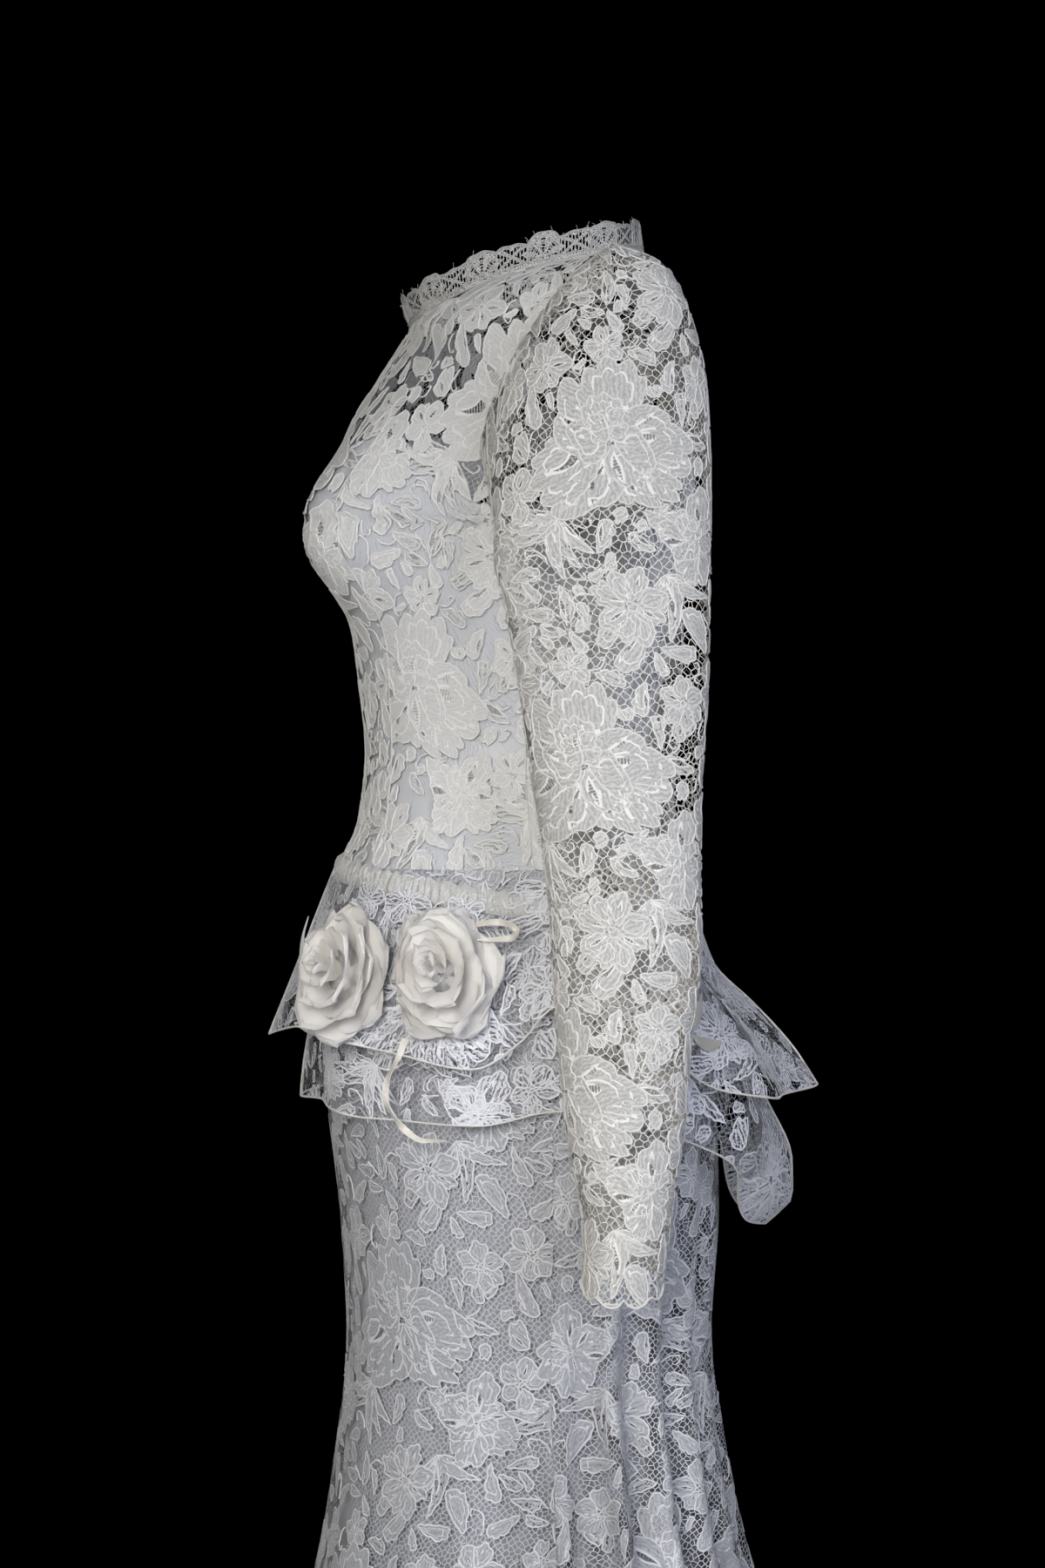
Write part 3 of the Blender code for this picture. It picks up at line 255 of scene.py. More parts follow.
class DressForm:
    """The surfaces that all pieces are cut from, on the wearer's left."""

    def __init__(self) -> None:
        """Fits the curves of the tables."""
        self.lace = Curve(LACE_SECTIONS)
        self.under = Curve(UNDERDRESS_SECTIONS)
        self.tube = Curve(SLEEVE)
        self.folds = Curve(FOLDS)
        self.princess = Curve(PRINCESS_SEAM)
        self.sweetheart = Curve(SWEETHEART)
        self.fall = Curve(FALLS)
        self.tiers = {True: Curve(UPPER_TIER), False: Curve(LOWER_TIER)}
        self.centre = {Face.FRONT: self._yoke_edge(FRONT_CENTRE, 0.0),
            Face.BACK: self._yoke_edge(BACK_CENTRE, 1.0)}
        self.neck = {Face.FRONT: Curve(FRONT_NECK), Face.BACK: Curve(BACK_NECK)}
        self.corner = {Face.FRONT: FRONT_NECK_V, Face.BACK: BACK_NECK_V}
        self.side = self._yoke_edge(SIDE_SEAM, 0.5)
        self.armhole = {Face.FRONT: Curve(FRONT_ARMHOLE), Face.BACK: Curve(BACK_ARMHOLE)}
        self.root_angles, self.root_points = self._armhole_loop()

    def _yoke_edge(self, rows: Array, t: float) -> Curve:
        """A yoke edge that starts on the section at YOKE_BASE."""
        start = self.ring(self.lace, np.array(YOKE_BASE), np.array(t))
        return Curve([(0.0, *start), *rows])

    def ring(self, section: Curve, z: Array, t: Array) -> Array:
        """Points of level sections.

        Args:
            section: the curve of the sections.
            z: heights.
            t: turns from the centre front (0) by the side (0.5) to the back (1); negative turns
                are on the wearer's right.

        Returns:
            The points, along the last axis.
        """
        z, t = alike(z, t)
        front, back, half, side = np.moveaxis(section(z), -1, 0)
        angle = np.pi * np.abs(t)
        x = np.sign(t) * half * np.maximum(np.sin(angle), 0.0) ** ROUNDNESS
        reach = np.where(np.abs(t) <= 0.5, side - front, back - side)
        cosine = np.cos(angle)
        y = side - np.sign(cosine) * np.abs(cosine) ** ROUNDNESS * reach
        return stack(x, y, z)

    def outward(self, section: Curve, z: Array, t: Array) -> Array:
        """Level unit vectors that point out of the sections at t."""
        z, t = alike(z, t)
        step, side = 0.004, np.where(t < 0, -1.0, 1.0)
        turn = np.abs(t)
        along = self.ring(section, z, np.minimum(turn + step, 1))
        along = along - self.ring(section, z, np.maximum(turn - step, 1e-9))
        out = stack(along[..., 1], -along[..., 0], np.zeros_like(z))
        out[turn < step] = (0.0, -1.0, 0.0)
        out[turn > 1 - step] = (0.0, 1.0, 0.0)
        out[..., 0] *= side
        return unit(out)

    def body(self, face: Face, v: Array, a: Array) -> Array:
        """Points of the lace body.

        Args:
            face: front or back.
            v: 1 at the shoulder seam, 0 at YOKE_BASE, below that the height in shares of it.
            a: 0 at the centre line, PRINCESS on the princess seam, 1 at the side; negative
                shares are on the wearer's right.

        Returns:
            The points, along the last axis.
        """
        v, signed = alike(v, a)
        a, side = np.abs(signed), np.where(signed < 0, -1.0, 1.0)
        seam = self.princess(v)[..., 0] if face is Face.FRONT else PRINCESS
        a = np.where(a <= PRINCESS, a / PRINCESS * seam, 1 - (1 - a) / (1 - PRINCESS) * (1 - seam))

        def turn(share: Array) -> Array:
            """Turn of a share of the way to the side seam."""
            return share / 2 if face is Face.FRONT else 1 - share / 2

        low = self.ring(self.lace, YOKE_BASE * (1 - np.minimum(v, 0)), turn(a))
        high_v = np.maximum(v, 0)
        past = (high_v > self.corner[face])[..., None]
        inner = np.where(past, self.neck[face](high_v), self.centre[face](high_v))
        under = (high_v <= UNDERARM_V)[..., None]
        outer = np.where(under, self.side(high_v), self.armhole[face](high_v))
        front, back, _, middle = self.lace(YOKE_BASE)
        reach = (outer[..., 1] - middle) / ((front if face is Face.FRONT else back) - middle)
        arc = np.arccos(np.clip(reach, 0, 1) ** (1 / ROUNDNESS)) / (math.pi / 2)
        base = [self.ring(self.lace, YOKE_BASE, turn(k * arc)) for k in (0 * a, a, 0 * a + 1)]
        share = a[..., None]
        swell = base[1] - (1 - share) * base[0] - share * base[2]
        high = (1 - share) * inner + share * outer + swell * (1 - high_v * high_v)[..., None]
        point = np.where((v <= 0)[..., None], low, high)
        if face is Face.FRONT:
            point[..., 1] -= self.cup(point) * (1 - a**4)
        point[..., 0] *= side
        return point

    @staticmethod
    def cup(point: Array) -> Array:
        """How far the bust cups stand forward at points."""
        rise = point[..., 2] - CUP_APEX_Z
        across = (np.abs(point[..., 0]) - CUP_APEX_X) / CUP_WIDE
        along = rise / np.where(rise > 0, CUP_UP, CUP_DOWN)
        return CUP_DEPTH * np.exp(-across * across - along * along)

    def skirt(self, z: Array, t: Array) -> Array:
        """Points of the lace skirt with its large folds."""
        z, t = alike(z, t)
        turn = np.abs(t)
        front, back = np.moveaxis(self.folds(z), -1, 0)
        height = front + (back - front) * np.clip((turn - 0.5) / 0.08, 0, 1)
        wave = np.where(turn <= 0.5, front * np.cos(TAU * FRONT_FOLDS * turn / 0.5),
            height * np.cos(TAU * BACK_FOLDS * (turn - 0.5) / 0.5))
        return self.ring(self.lace, z, t) + self.outward(self.lace, z, t) * wave[..., None]

    def tier(self, upper: bool, t: Array, s: Array) -> Array:
        """Points of a peplum tier at the turn t and the share s of its fall."""
        t, s = alike(t, s)
        seam, hem, out, bustle = np.moveaxis(self.tiers[upper](t), -1, 0)
        plain, upper_back, lower_back = np.moveaxis(self.fall(s), -1, 0)
        sprung = upper_back if upper else lower_back
        z = seam + (hem - seam) * s
        height = TIER_WAVE_FRONT + (TIER_WAVE_BACK - TIER_WAVE_FRONT) * np.maximum(0, 2 * t - 1)
        wave = height * s**1.5 * np.cos(TAU * TIER_FLUTES * t)
        stand = TIER_CLEAR + out * (plain + (sprung - plain) * bustle) + wave
        return self.ring(self.lace, z, t) + self.outward(self.lace, z, t) * stand[..., None]

    def _armhole_loop(self, steps: int = 160) -> tuple[Array, Array]:
        """The armhole down the front and up the back, with its angles round the sleeve."""
        front = self.armhole[Face.FRONT](np.linspace(1, UNDERARM_V, steps))
        back = self.armhole[Face.BACK](np.linspace(UNDERARM_V, 1, steps))
        angles, points = [], []
        for side, line in enumerate((front, back)):
            run = run_along(line)
            angles.append(math.pi * (side + run / run[-1]))
            points.append(line)
        return np.concatenate(angles), np.concatenate(points)

    def root(self, angle: Array) -> Array:
        """Points of the armhole at angles round the sleeve, 0 at the shoulder tip."""
        return read(np.mod(angle, TAU), self.root_angles, self.root_points)

    def sleeve_tube(self, z: Array, angle: Array) -> Array:
        """Points of the sleeve below its head."""
        z, angle = alike(z, angle)
        x, y, half_x, half_y = np.moveaxis(self.tube(z), -1, 0)
        return stack(x + half_x * np.cos(angle), y - half_y * np.sin(angle), z)

    def sleeve_head(self, angle: Array, share: Array) -> Array:
        """Points of the sleeve head, from the armhole (0) to the level SLEEVE_TOP (1)."""
        angle, s = alike(angle, share)
        start, end = self.root(angle), self.sleeve_tube(SLEEVE_TOP, angle)
        top = (1 + np.cos(angle)) / 2
        away = unit(stack(0.9 + 0 * top, -0.5 * np.sin(angle), -0.25 + (0.25 + CAP_RISE) * top))
        drop = CAP_FALL_INNER + (CAP_FALL_OUTER - CAP_FALL_INNER) * top
        first = start + away * (CAP_PUFF * (0.25 + 0.75 * top))[..., None]
        second = end + stack(0 * drop, 0 * drop, drop)
        s = s[..., None]
        return (
            (1 - s) ** 3 * start
            + 3 * s * (1 - s) ** 2 * first
            + 3 * s * s * (1 - s) * second
            + s**3 * end
        )


FORM = DressForm()


# ---------------------------------------------------------------- cloth as grids
class Cloth:
    """A piece of cloth: a grid of points, its outward directions and its flat coordinates."""

    def __init__(self, points: Array, zero: tuple[int, int] = (0, 0), start: Array | float = 0.0,
            round_it: bool = False) -> None:
        """Measures the flat coordinates of a grid.

        Args:
            points: rows and columns of points on the outside of the piece.
            zero: the row and column that the flat coordinates count from.
            start: what u is on the zero column.
            round_it: True where the first and last columns are the same line.
        """
        self.points, self.round_it = np.array(points, float), round_it
        across = np.linalg.norm(np.diff(self.points, axis=1), axis=2)
        along = np.linalg.norm(np.diff(self.points, axis=0), axis=2)
        u = np.pad(np.cumsum(across, axis=1), ((0, 0), (1, 0)))
        self.u = u - u[:, zero[1]][:, None] + np.asarray(start)
        slant = np.diff(self.u, axis=0)
        rise = np.sqrt(np.maximum(along**2 - slant**2, (0.3 * along) ** 2))
        v = np.pad(np.cumsum(rise, axis=0), ((1, 0), (0, 0)))
        self.v = v - v[zero[0]][None, :]
        self.fold = np.zeros_like(self.v)  # how much painted shade each point takes for lying deep in a fold, 0 to 1
        self.face_out()

    def face_out(self) -> None:
        """Finds the outward directions, and which way round a face has to be wound."""
        points = self.points
        if self.round_it:
            ring = points[:, :-1]
            along = np.roll(ring, -1, axis=1) - np.roll(ring, 1, axis=1)
            along = np.concatenate([along, along[:, :1]], axis=1)
            middle = ring.mean(axis=1, keepdims=True)
        else:
            along = np.gradient(points, axis=1)
            middle = points * np.array([0.0, 0.0, 1.0]) + np.array([0.0, -0.02, 0.0])
        normals = unit(np.cross(along, np.gradient(points, axis=0)))
        self.hand = 1 if (normals * (points - middle)).sum() > 0 else -1
        normals *= self.hand
        on_centre = np.abs(points[..., 0]) < 1e-6
        normals[on_centre, 0] = 0.0
        self.normals = unit(normals)

    def pattern_hand(self) -> int:
        """1 where u to the right and v up are seen from outside, -1 where they are mirrored."""
        middle = [size // 2 for size in self.u.shape]
        right = self.u[middle[0], -1] > self.u[middle[0], 0]
        up = self.v[-1, middle[1]] > self.v[0, middle[1]]
        return self.hand * (1 if right == up else -1)

    def mirrored(self, carry_on: bool = False) -> "Cloth":
        """The same piece on the wearer's right; carry_on lets the pattern run on across it."""
        other = object.__new__(Cloth)
        other.points, other.normals = self.points * MIRROR, self.normals * MIRROR
        other.u, other.v = (-self.u if carry_on else self.u.copy()), self.v.copy()
        other.fold = self.fold
        other.hand, other.round_it = -self.hand, self.round_it
        return other

    def pushed(self, amount: Array) -> "Cloth":
        """Moves every point along its outward direction, then faces it out again."""
        self.points = self.points + self.normals * amount[..., None]
        self.face_out()
        return self

    def creased(self, creases: Array) -> "Cloth":
        """Presses creases into the cloth; each row is u, v, u, v, width and depth."""
        total = np.zeros_like(self.u)
        for u, v, u_end, v_end, width, depth in creases:
            run = np.array([u_end - u, v_end - v])
            length = float(np.hypot(*run))
            run /= length
            du, dv = self.u - u, self.v - v
            along = (du * run[0] + dv * run[1]) / length
            across = (dv * run[0] - du * run[1]) / width
            taper = ease(along / 0.3) * ease((1 - along) / 0.3)
            total += depth * taper * np.exp(-across * across)
        return self.pushed(total)

    def flattened(self, pinned: bool = False, every: int = 3) -> "Cloth":
        """Unrolls the piece into a flat pattern that keeps its angles.

        Args:
            pinned: True where the first column is a straight seam on the centre line.
            every: how many grid lines are passed over, to keep the sum small.

        Returns:
            The same piece.
        """
        sizes = self.points.shape[:2]
        rows, columns = (np.append(np.arange(0, size - 1, every), size - 1) for size in sizes)
        points = self.points[np.ix_(rows, columns)]
        at = np.arange(points.shape[0] * points.shape[1]).reshape(points.shape[:2])
        corners = np.concatenate([stack(at[:-1, :-1], at[:-1, 1:], at[1:, 1:]).reshape(-1, 3),
            stack(at[:-1, :-1], at[1:, 1:], at[1:, :-1]).reshape(-1, 3)])
        a, b, c = (points.reshape(-1, 3)[corners[:, k]] for k in range(3))
        along = unit(b - a)
        aside = np.cross(unit(np.cross(b - a, c - a)), along)
        second = ((b - a) * along).sum(1) + 0j
        third = ((c - a) * along).sum(1) + 1j * ((c - a) * aside).sum(1)
        double = np.maximum((second * third.imag).real, 1e-12)
        weights = stack(third - second, -third, second) / np.sqrt(double)[:, None]
        count, faces = at.size, len(corners)
        system = np.zeros((2 * faces + len(rows) + 3, 2 * count))
        line = np.arange(faces)
        for k in range(3):
            system[line, corners[:, k]] += weights[:, k].real
            system[line, count + corners[:, k]] -= weights[:, k].imag
            system[faces + line, corners[:, k]] += weights[:, k].imag
            system[faces + line, count + corners[:, k]] += weights[:, k].real
        wanted = np.zeros(len(system))
        on_centre = np.abs(points[:, 0, 0]) < 1e-6
        for k in range(len(rows)):
            if (pinned and on_centre[k]) or (not pinned and k in (0, len(rows) - 1)):
                system[2 * faces + k, at[k, 0]] = 10.0
        for k, row in enumerate((0, len(rows) // 2)):
            system[2 * faces + len(rows) + k, count + at[row, 0]] = 10.0
            wanted[2 * faces + len(rows) + k] = 10.0 * self.v[rows[row], 0]
        flat = np.linalg.lstsq(system, wanted, rcond=None)[0]
        u, v = flat[:count].reshape(at.shape), flat[count:].reshape(at.shape)
        crossed = (u[1:, 1:] - u[:-1, :-1]) * (v[1:, :-1] - v[:-1, 1:])
        crossed -= (u[1:, :-1] - u[:-1, 1:]) * (v[1:, 1:] - v[:-1, :-1])
        scale = math.sqrt(self.area() / float(np.abs(crossed).sum() / 2))
        fields = []
        for field in (u, v):
            wide = read(np.arange(sizes[1]), columns, (field * scale).T).T
            fields.append(read(np.arange(sizes[0]), rows, wide))
        zero = int(np.argmin(np.abs(self.v[:, 0])))
        self.u = fields[0] + (0.0 if pinned else self.u[zero, 0] - fields[0][zero, 0])
        self.v = fields[1] - fields[1][zero, 0]
        return self

    def area(self) -> float:
        """Area of the cloth in square metres."""
        p = self.points
        cross = np.cross(p[1:, 1:] - p[:-1, :-1], p[1:, :-1] - p[:-1, 1:])
        return float(np.linalg.norm(cross, axis=2).sum() / 2)

    def flat_size(self) -> Spot:
        """Width and length of the flat cut."""
        return float(np.ptp(self.u, axis=1).max()), float(np.ptp(self.v, axis=0).max())

    def sample(self, field: Array, row: Array, column: Array) -> Array:
        """Values of a grid field between its points."""
        i = np.clip(row.astype(int), 0, self.u.shape[0] - 2)
        j = np.clip(column.astype(int), 0, self.u.shape[1] - 2)
        r, c = row - i, column - j
        if field.ndim == 3:
            r, c = r[:, None], c[:, None]
        low = field[i, j] * (1 - c) + field[i, j + 1] * c
        high = field[i + 1, j] * (1 - c) + field[i + 1, j + 1] * c
        return low * (1 - r) + high * r

    def locate(self, u: Array, v: Array, rounds: int = 14) -> tuple[Array, Array, Array]:
        """Finds flat spots on the grid.

        Args:
            u, v: flat coordinates of the spots.
            rounds: how often the guess is bettered.

        Returns:
            Rows, columns, and whether each spot lies on the cloth; a spot off the cloth is
            brought to its edge.
        """
        rows, columns = self.u.shape
        some_rows, some_columns = np.arange(0, rows, 3), np.arange(0, columns, 3)
        few = np.ix_(some_rows, some_columns)
        gap = (u[:, None] - self.u[few].ravel()) ** 2 + (v[:, None] - self.v[few].ravel()) ** 2
        nearest = gap.argmin(axis=1)
        row = some_rows[nearest // len(some_columns)].astype(float)
        column = some_columns[nearest % len(some_columns)].astype(float)
        for _ in range(rounds):
            i = np.clip(row.astype(int), 0, rows - 2)
            j = np.clip(column.astype(int), 0, columns - 2)
            r, c = row - i, column - j
            parts = []
            for field in (self.u, self.v):
                a, b, d, e = field[i, j], field[i, j + 1], field[i + 1, j], field[i + 1, j + 1]
                value = (a * (1 - c) + b * c) * (1 - r) + (d * (1 - c) + e * c) * r
                by_row = (d - a) * (1 - c) + (e - b) * c
                by_column = (b - a) * (1 - r) + (e - d) * r
                parts.append((value, by_row, by_column))
            (u_now, u_r, u_c), (v_now, v_r, v_c) = parts
            lack_u, lack_v = u - u_now, v - v_now
            det = u_r * v_c - u_c * v_r
            det = np.where(np.abs(det) < 1e-12, 1e-12, det)
            step_r = (lack_u * v_c - u_c * lack_v) / det
            step_c = (u_r * lack_v - lack_u * v_r) / det
            row = np.clip(row + np.clip(step_r, -8, 8), 0, rows - 1)
            column = np.clip(column + np.clip(step_c, -8, 8), 0, columns - 1)
        u_now, v_now = self.sample(self.u, row, column), self.sample(self.v, row, column)
        return row, column, np.hypot(u - u_now, v - v_now) < 2e-4

    def at(self, row: Array, column: Array, lift: Array) -> Array:
        """Points of the cloth, lifted off it."""
        out = unit(self.sample(self.normals, row, column))
        return self.sample(self.points, row, column) + out * lift[:, None]

    def inside(self, depth: float) -> Array:
        """A list of its points, moved this far inwards."""
        return (self.points - self.normals * depth).reshape(-1, 3)

    def flat(self) -> Array:
        """A list of its flat coordinates."""
        return stack(self.u, self.v).reshape(-1, 2)

    def faces(self) -> Array:
        """Four-sided faces between its points, wound to face outwards."""
        at = np.arange(self.u.size).reshape(self.u.shape)
        faces = stack(at[:-1, :-1], at[:-1, 1:], at[1:, 1:], at[1:, :-1]).reshape(-1, 4)
        return faces[:, ::-1] if self.hand < 0 else faces


def put_in(name: str, data: bpy.types.ID) -> Object:
    """Puts a new object into the scene."""
    piece = bpy.data.objects.new(name, data)
    bpy.context.scene.collection.objects.link(piece)
    return piece


def build_mesh(name: str, points: Array, faces: Array, materials: Sequence[Material],
        slots: Array | None = None, uv: Array | None = None, **fields: Array) -> Object:
    """Makes a smoothly shaded mesh object at the origin.

    Args:
        name: the object's name.
        points: its corners.
        faces: rows of corner numbers, all with the same number of corners.
        materials: its materials.
        slots: each face's material number.
        uv: each corner's flat coordinates, kept as the map "pattern".
        fields: each corner's numbers or vectors, kept as attributes of these names.

    Returns:
        The object, linked to the scene.
    """
    mesh = bpy.data.meshes.new(name)
    count, sides = faces.shape
    mesh.vertices.add(len(points))
    mesh.vertices.foreach_set("co", np.ascontiguousarray(points, dtype=np.float32).ravel())
    mesh.loops.add(count * sides)
    mesh.loops.foreach_set("vertex_index", np.ascontiguousarray(faces, dtype=np.int32).ravel())
    mesh.polygons.add(count)
    mesh.polygons.foreach_set("loop_start", np.arange(0, count * sides, sides, dtype=np.int32))
    for material in materials:
        mesh.materials.append(material)
    if slots is not None:
        mesh.polygons.foreach_set("material_index", slots.astype(np.int32))
    if uv is not None:
        layer = mesh.uv_layers.new(name="pattern")
        layer.data.foreach_set("uv", uv[faces.ravel()].astype(np.float32).ravel())
    for key, values in fields.items():
        kind, socket = ("FLOAT", "value") if values.ndim == 1 else ("FLOAT_VECTOR", "vector")
        layer = mesh.attributes.new(name=key, type=kind, domain="POINT")
        layer.data.foreach_set(socket, values.astype(np.float32).ravel())
    mesh.update(calc_edges=True)
    mesh.validate()
    mesh.shade_smooth()
    return put_in(name, mesh)


def face_outwards(piece: Object) -> None:
    """Turns the faces of a closed mesh outwards."""
    worker = bmesh.new()
    worker.from_mesh(piece.data)
    bmesh.ops.recalc_face_normals(worker, faces=worker.faces)
    worker.to_mesh(piece.data)
    worker.free()


def sheet_mesh(name: str, cloths: Sequence[Cloth], depth: float, material: Material) -> Object:
    """One layer of cloth, this deep inside its grids."""
    parts, total = [], 0
    for cloth in cloths:
        # The fold field carries painted shade in the creases.
        parts.append((cloth.inside(depth), cloth.faces() + total, cloth.flat(), cloth.fold.ravel()))
        total += cloth.u.size
    points, faces, uv, folds = join(parts)
    return build_mesh(name, points, faces, [material], uv=uv, fold=folds)


def shell_mesh(name: str, cloth: Cloth, depth: float, thick: float, material: Material) -> Object:
    """A closed wall of cloth between two depths inside its grid."""
    at, faces = np.arange(cloth.u.size).reshape(cloth.u.shape), cloth.faces()
    rim = np.concatenate([at[0, :-1], at[:-1, -1], at[-1, :0:-1], at[:0:-1, 0]])
    ahead, count = np.roll(rim, -1), cloth.u.size
    wall = stack(rim, rim + count, ahead + count, ahead)
    if cloth.hand < 0:
        wall = wall[:, ::-1]
    faces = np.concatenate([faces, faces[:, ::-1] + count, wall])
    points = np.concatenate([cloth.inside(depth), cloth.inside(depth + thick)])
    # The fold field carries painted shade in the creases.
    uv, fold = np.tile(cloth.flat(), (2, 1)), np.tile(cloth.fold.ravel(), 2)
    piece = build_mesh(name, points, faces, [material], uv=uv, fold=fold)
    face_outwards(piece)
    piece.data.set_sharp_from_angle(angle=math.radians(50))
    return piece


# ---------------------------------------------------------------- the flowers of the lace
class Fill(Enum):
    """How the inside of a motif is worked."""

    DENSE = 0
    SHEER = 1
    OPEN = 2


@dataclass
class Motif:
    """One outlined form of the lace, flat, in metres."""

    outline: Array
    fill: Fill
    root: Array
    axis: Array
    closed: bool


def turned(points: Array, angle: float, place: Spot = (0.0, 0.0)) -> Array:
    """Flat points turned by an angle and moved to a place."""
    cosine, sine = math.cos(angle), math.sin(angle)
    return points @ np.array([[cosine, sine], [-sine, cosine]]) + np.array(place)


def even(points: Array, step: float, closed: bool) -> Array:
    """A flat line with its points about step apart."""
    line = np.concatenate([points, points[:1]]) if closed else points
    run = run_along(line)
    count = max(int(round(run[-1] / step)), 6 if closed else 2)
    at = np.linspace(0, run[-1], count + 1)[: count if closed else count + 1]
    return read(at, run, line)


def within(outline: Array, spots: Array) -> Array:
    """Which spots lie inside a closed outline."""
    x, y = spots[:, :1], spots[:, 1:]
    ahead = np.roll(outline, -1, axis=0)
    low, high = outline[:, 1], ahead[:, 1]
    crosses = (low > y) != (high > y)
    rise = np.where(high == low, 1e-12, high - low)
    side = (ahead[:, 0] - outline[:, 0]) * (y - low) / rise + outline[:, 0]
    return (crosses & (x < side)).sum(axis=1) % 2 == 1


@dataclass
class LaceChart:
    """One repeat of the corded lace, drawn flat by rule.

    Motifs that are drawn first lie on top, and later ones stop where they meet them.
    """

    width: float = 0.15
    height: float = 0.205
    shift: float = -0.024  # how far each repeat steps sideways over the one below
    step: float = 0.0032
    smallest: bool = True  # whether the smallest leaves between the motifs are worked
    seed: int = 7

    def __post_init__(self) -> None:
        """Draws the repeat."""
        self.random = np.random.default_rng(self.seed)
        self.motifs: list[Motif] = []
        self.draw()

    def jitter(self, amount: float) -> float:
        """A small seeded irregularity."""
        return float(self.random.uniform(-amount, amount))

    def keep(self, line: Array, fill: Fill, root: Array | Spot, way: float = 0.0) -> None:
        """Adds a motif with its axis this way; an open one is a single cord."""
        axis = np.array([math.cos(way), math.sin(way)])
        self.motifs.append(Motif(line, fill, np.array(root), axis, fill is not Fill.OPEN))

    def petal(self, place: Spot, angle: float, length: float, width: float, fill: Fill = Fill.DENSE,
            lobes: float = 3, depth: float = 0.12, bend: float = 0.0) -> None:
        """A petal that opens like a fan from its place, with a scalloped tip."""
        reach = math.atan2(0.5 * width, 0.66 * length)
        th = np.linspace(-1, 1, 45)
        phase = self.jitter(0.5)
        crest = np.abs(np.cos(0.5 * math.pi * lobes * th + phase)) ** 0.55 - 0.62
        far = length * (1 + 2.0 * depth * crest) * (1 - 0.24 * th**2 + self.jitter(0.12) * th)
        arc = stack(far * np.cos(reach * th), far * np.sin(reach * th))
        s = np.linspace(0, 1, 9)[:-1, None]
        sides = []
        for end, way in ((arc[0], 1.0), (arc[-1], -1.0)):
            out = np.array([end[1], -end[0]]) * way * (0.13 + self.jitter(0.05))
            sides.append(s * end + np.sin(math.pi * s) * out)
        outline = np.concatenate([sides[0], arc, sides[1][:0:-1]])
        outline[:, 1] += bend * outline[:, 0] ** 2 / length
        self.keep(turned(outline, angle, place), fill, place, angle)

    def leaf(self, place: Spot, angle: float, length: float, width: float, bend: float = 0.0,
            fill: Fill = Fill.SHEER, notch: float = 0.0) -> None:
        """A pointed leaf that bends sideways; a notched one is scalloped on its outer side."""
        s = np.linspace(0, 1, 26)
        half = 0.5 * width * np.sin(math.pi * s**0.78) ** 0.7
        curve = bend * length * s * s
        scallops = 1 + notch * (np.abs(np.sin(3.5 * math.pi * s + self.jitter(1.0))) ** 0.6 - 0.4)
        outer, inner = (scallops, 0.8 + 0 * s) if bend < 0 else (0.8 + 0 * s, scallops)
        upper = stack(s * length, curve + half * outer)
        lower = stack(s * length, curve - half * inner)[::-1]
        outline = turned(np.concatenate([upper, lower[1:-1]]), angle, place)
        self.keep(outline, fill, place, angle + bend)

    def stem(self, *points: Spot) -> None:
        """A single cord through a few places."""
        run = run_along(np.array(points, float))
        line = Curve(np.column_stack([run, points]))(np.linspace(0, run[-1], 24))
        self.keep(line, Fill.OPEN, line[0])

    def curl(self, place: Spot, angle: float, size: float) -> None:
        """A single cord that winds in like a tendril."""
        s = np.linspace(0, 1, 18)
        reach = 0.5 * size * (1 - 0.62 * s)
        line = stack(reach * np.cos(4.6 * s), reach * np.sin(4.6 * s) * 0.8)
        line[:, 0] += 0.35 * size * (1 - s) ** 3
        line = turned(line, angle, place)
        self.keep(line, Fill.OPEN, line[0])

    def eye(self, place: Spot, radius: float) -> None:
        """The corded ring in the middle of a flower."""
        turn = np.linspace(0, TAU, 14, endpoint=False)
        wave = radius * (1 + 0.12 * np.cos(3 * turn))
        outline = stack(wave * np.cos(turn), wave * np.sin(turn)) + np.array(place)
        self.keep(outline, Fill.SHEER, place)

    def flower(self, place: Spot, radius: float, petals: int, turn: float = 0.0) -> None:
        """An open flower of lobed petals round a corded eye."""
        self.eye(place, radius * 0.15)
        start = radius * 0.12
        for k in range(petals):
            angle = turn + TAU * (k + self.jitter(0.16)) / petals
            long = (radius - start) * (1 + self.jitter(0.16))
            wide = TAU * radius * 0.8 / petals * (1 + self.jitter(0.14))
            foot = (place[0] + start * math.cos(angle), place[1] + start * math.sin(angle))
            self.petal(foot, angle, long, wide, lobes=1.4 + 0.8 * (k % 2), depth=0.1)

    def peony(self, place: Spot, radius: float, turn: float = 0.0) -> None:
        """A full flower: a lobed heart to one side, and uneven scalloped petals round it."""
        x, y = place
        heart = (x - 0.16 * radius * math.sin(turn), y + 0.22 * radius * math.cos(turn))
        for k in range(4):
            angle = turn + TAU * (k + 0.4 + self.jitter(0.2)) / 4
            self.petal(heart, angle, 0.27 * radius, 0.33 * radius, lobes=2, depth=0.15)
        rounds = ((4, 0.6, 0.64, 0.0), (7, 1.0, 0.92, 0.5))
        for petals, outer, share, start in rounds:
            for k in range(petals):
                angle = turn + TAU * (k + start + self.jitter(0.26)) / petals
                long = outer * radius * (1 + self.jitter(0.16))
                foot = (x + 0.05 * radius * math.cos(angle), y + 0.05 * radius * math.sin(angle))
                wide = share * radius * (1 + self.jitter(0.22))
                bend = self.jitter(0.35) + (0.25 if k % 2 else -0.25)
                self.petal(foot, angle, long, wide, lobes=2 + 2 * (k % 2), depth=0.1, bend=bend)

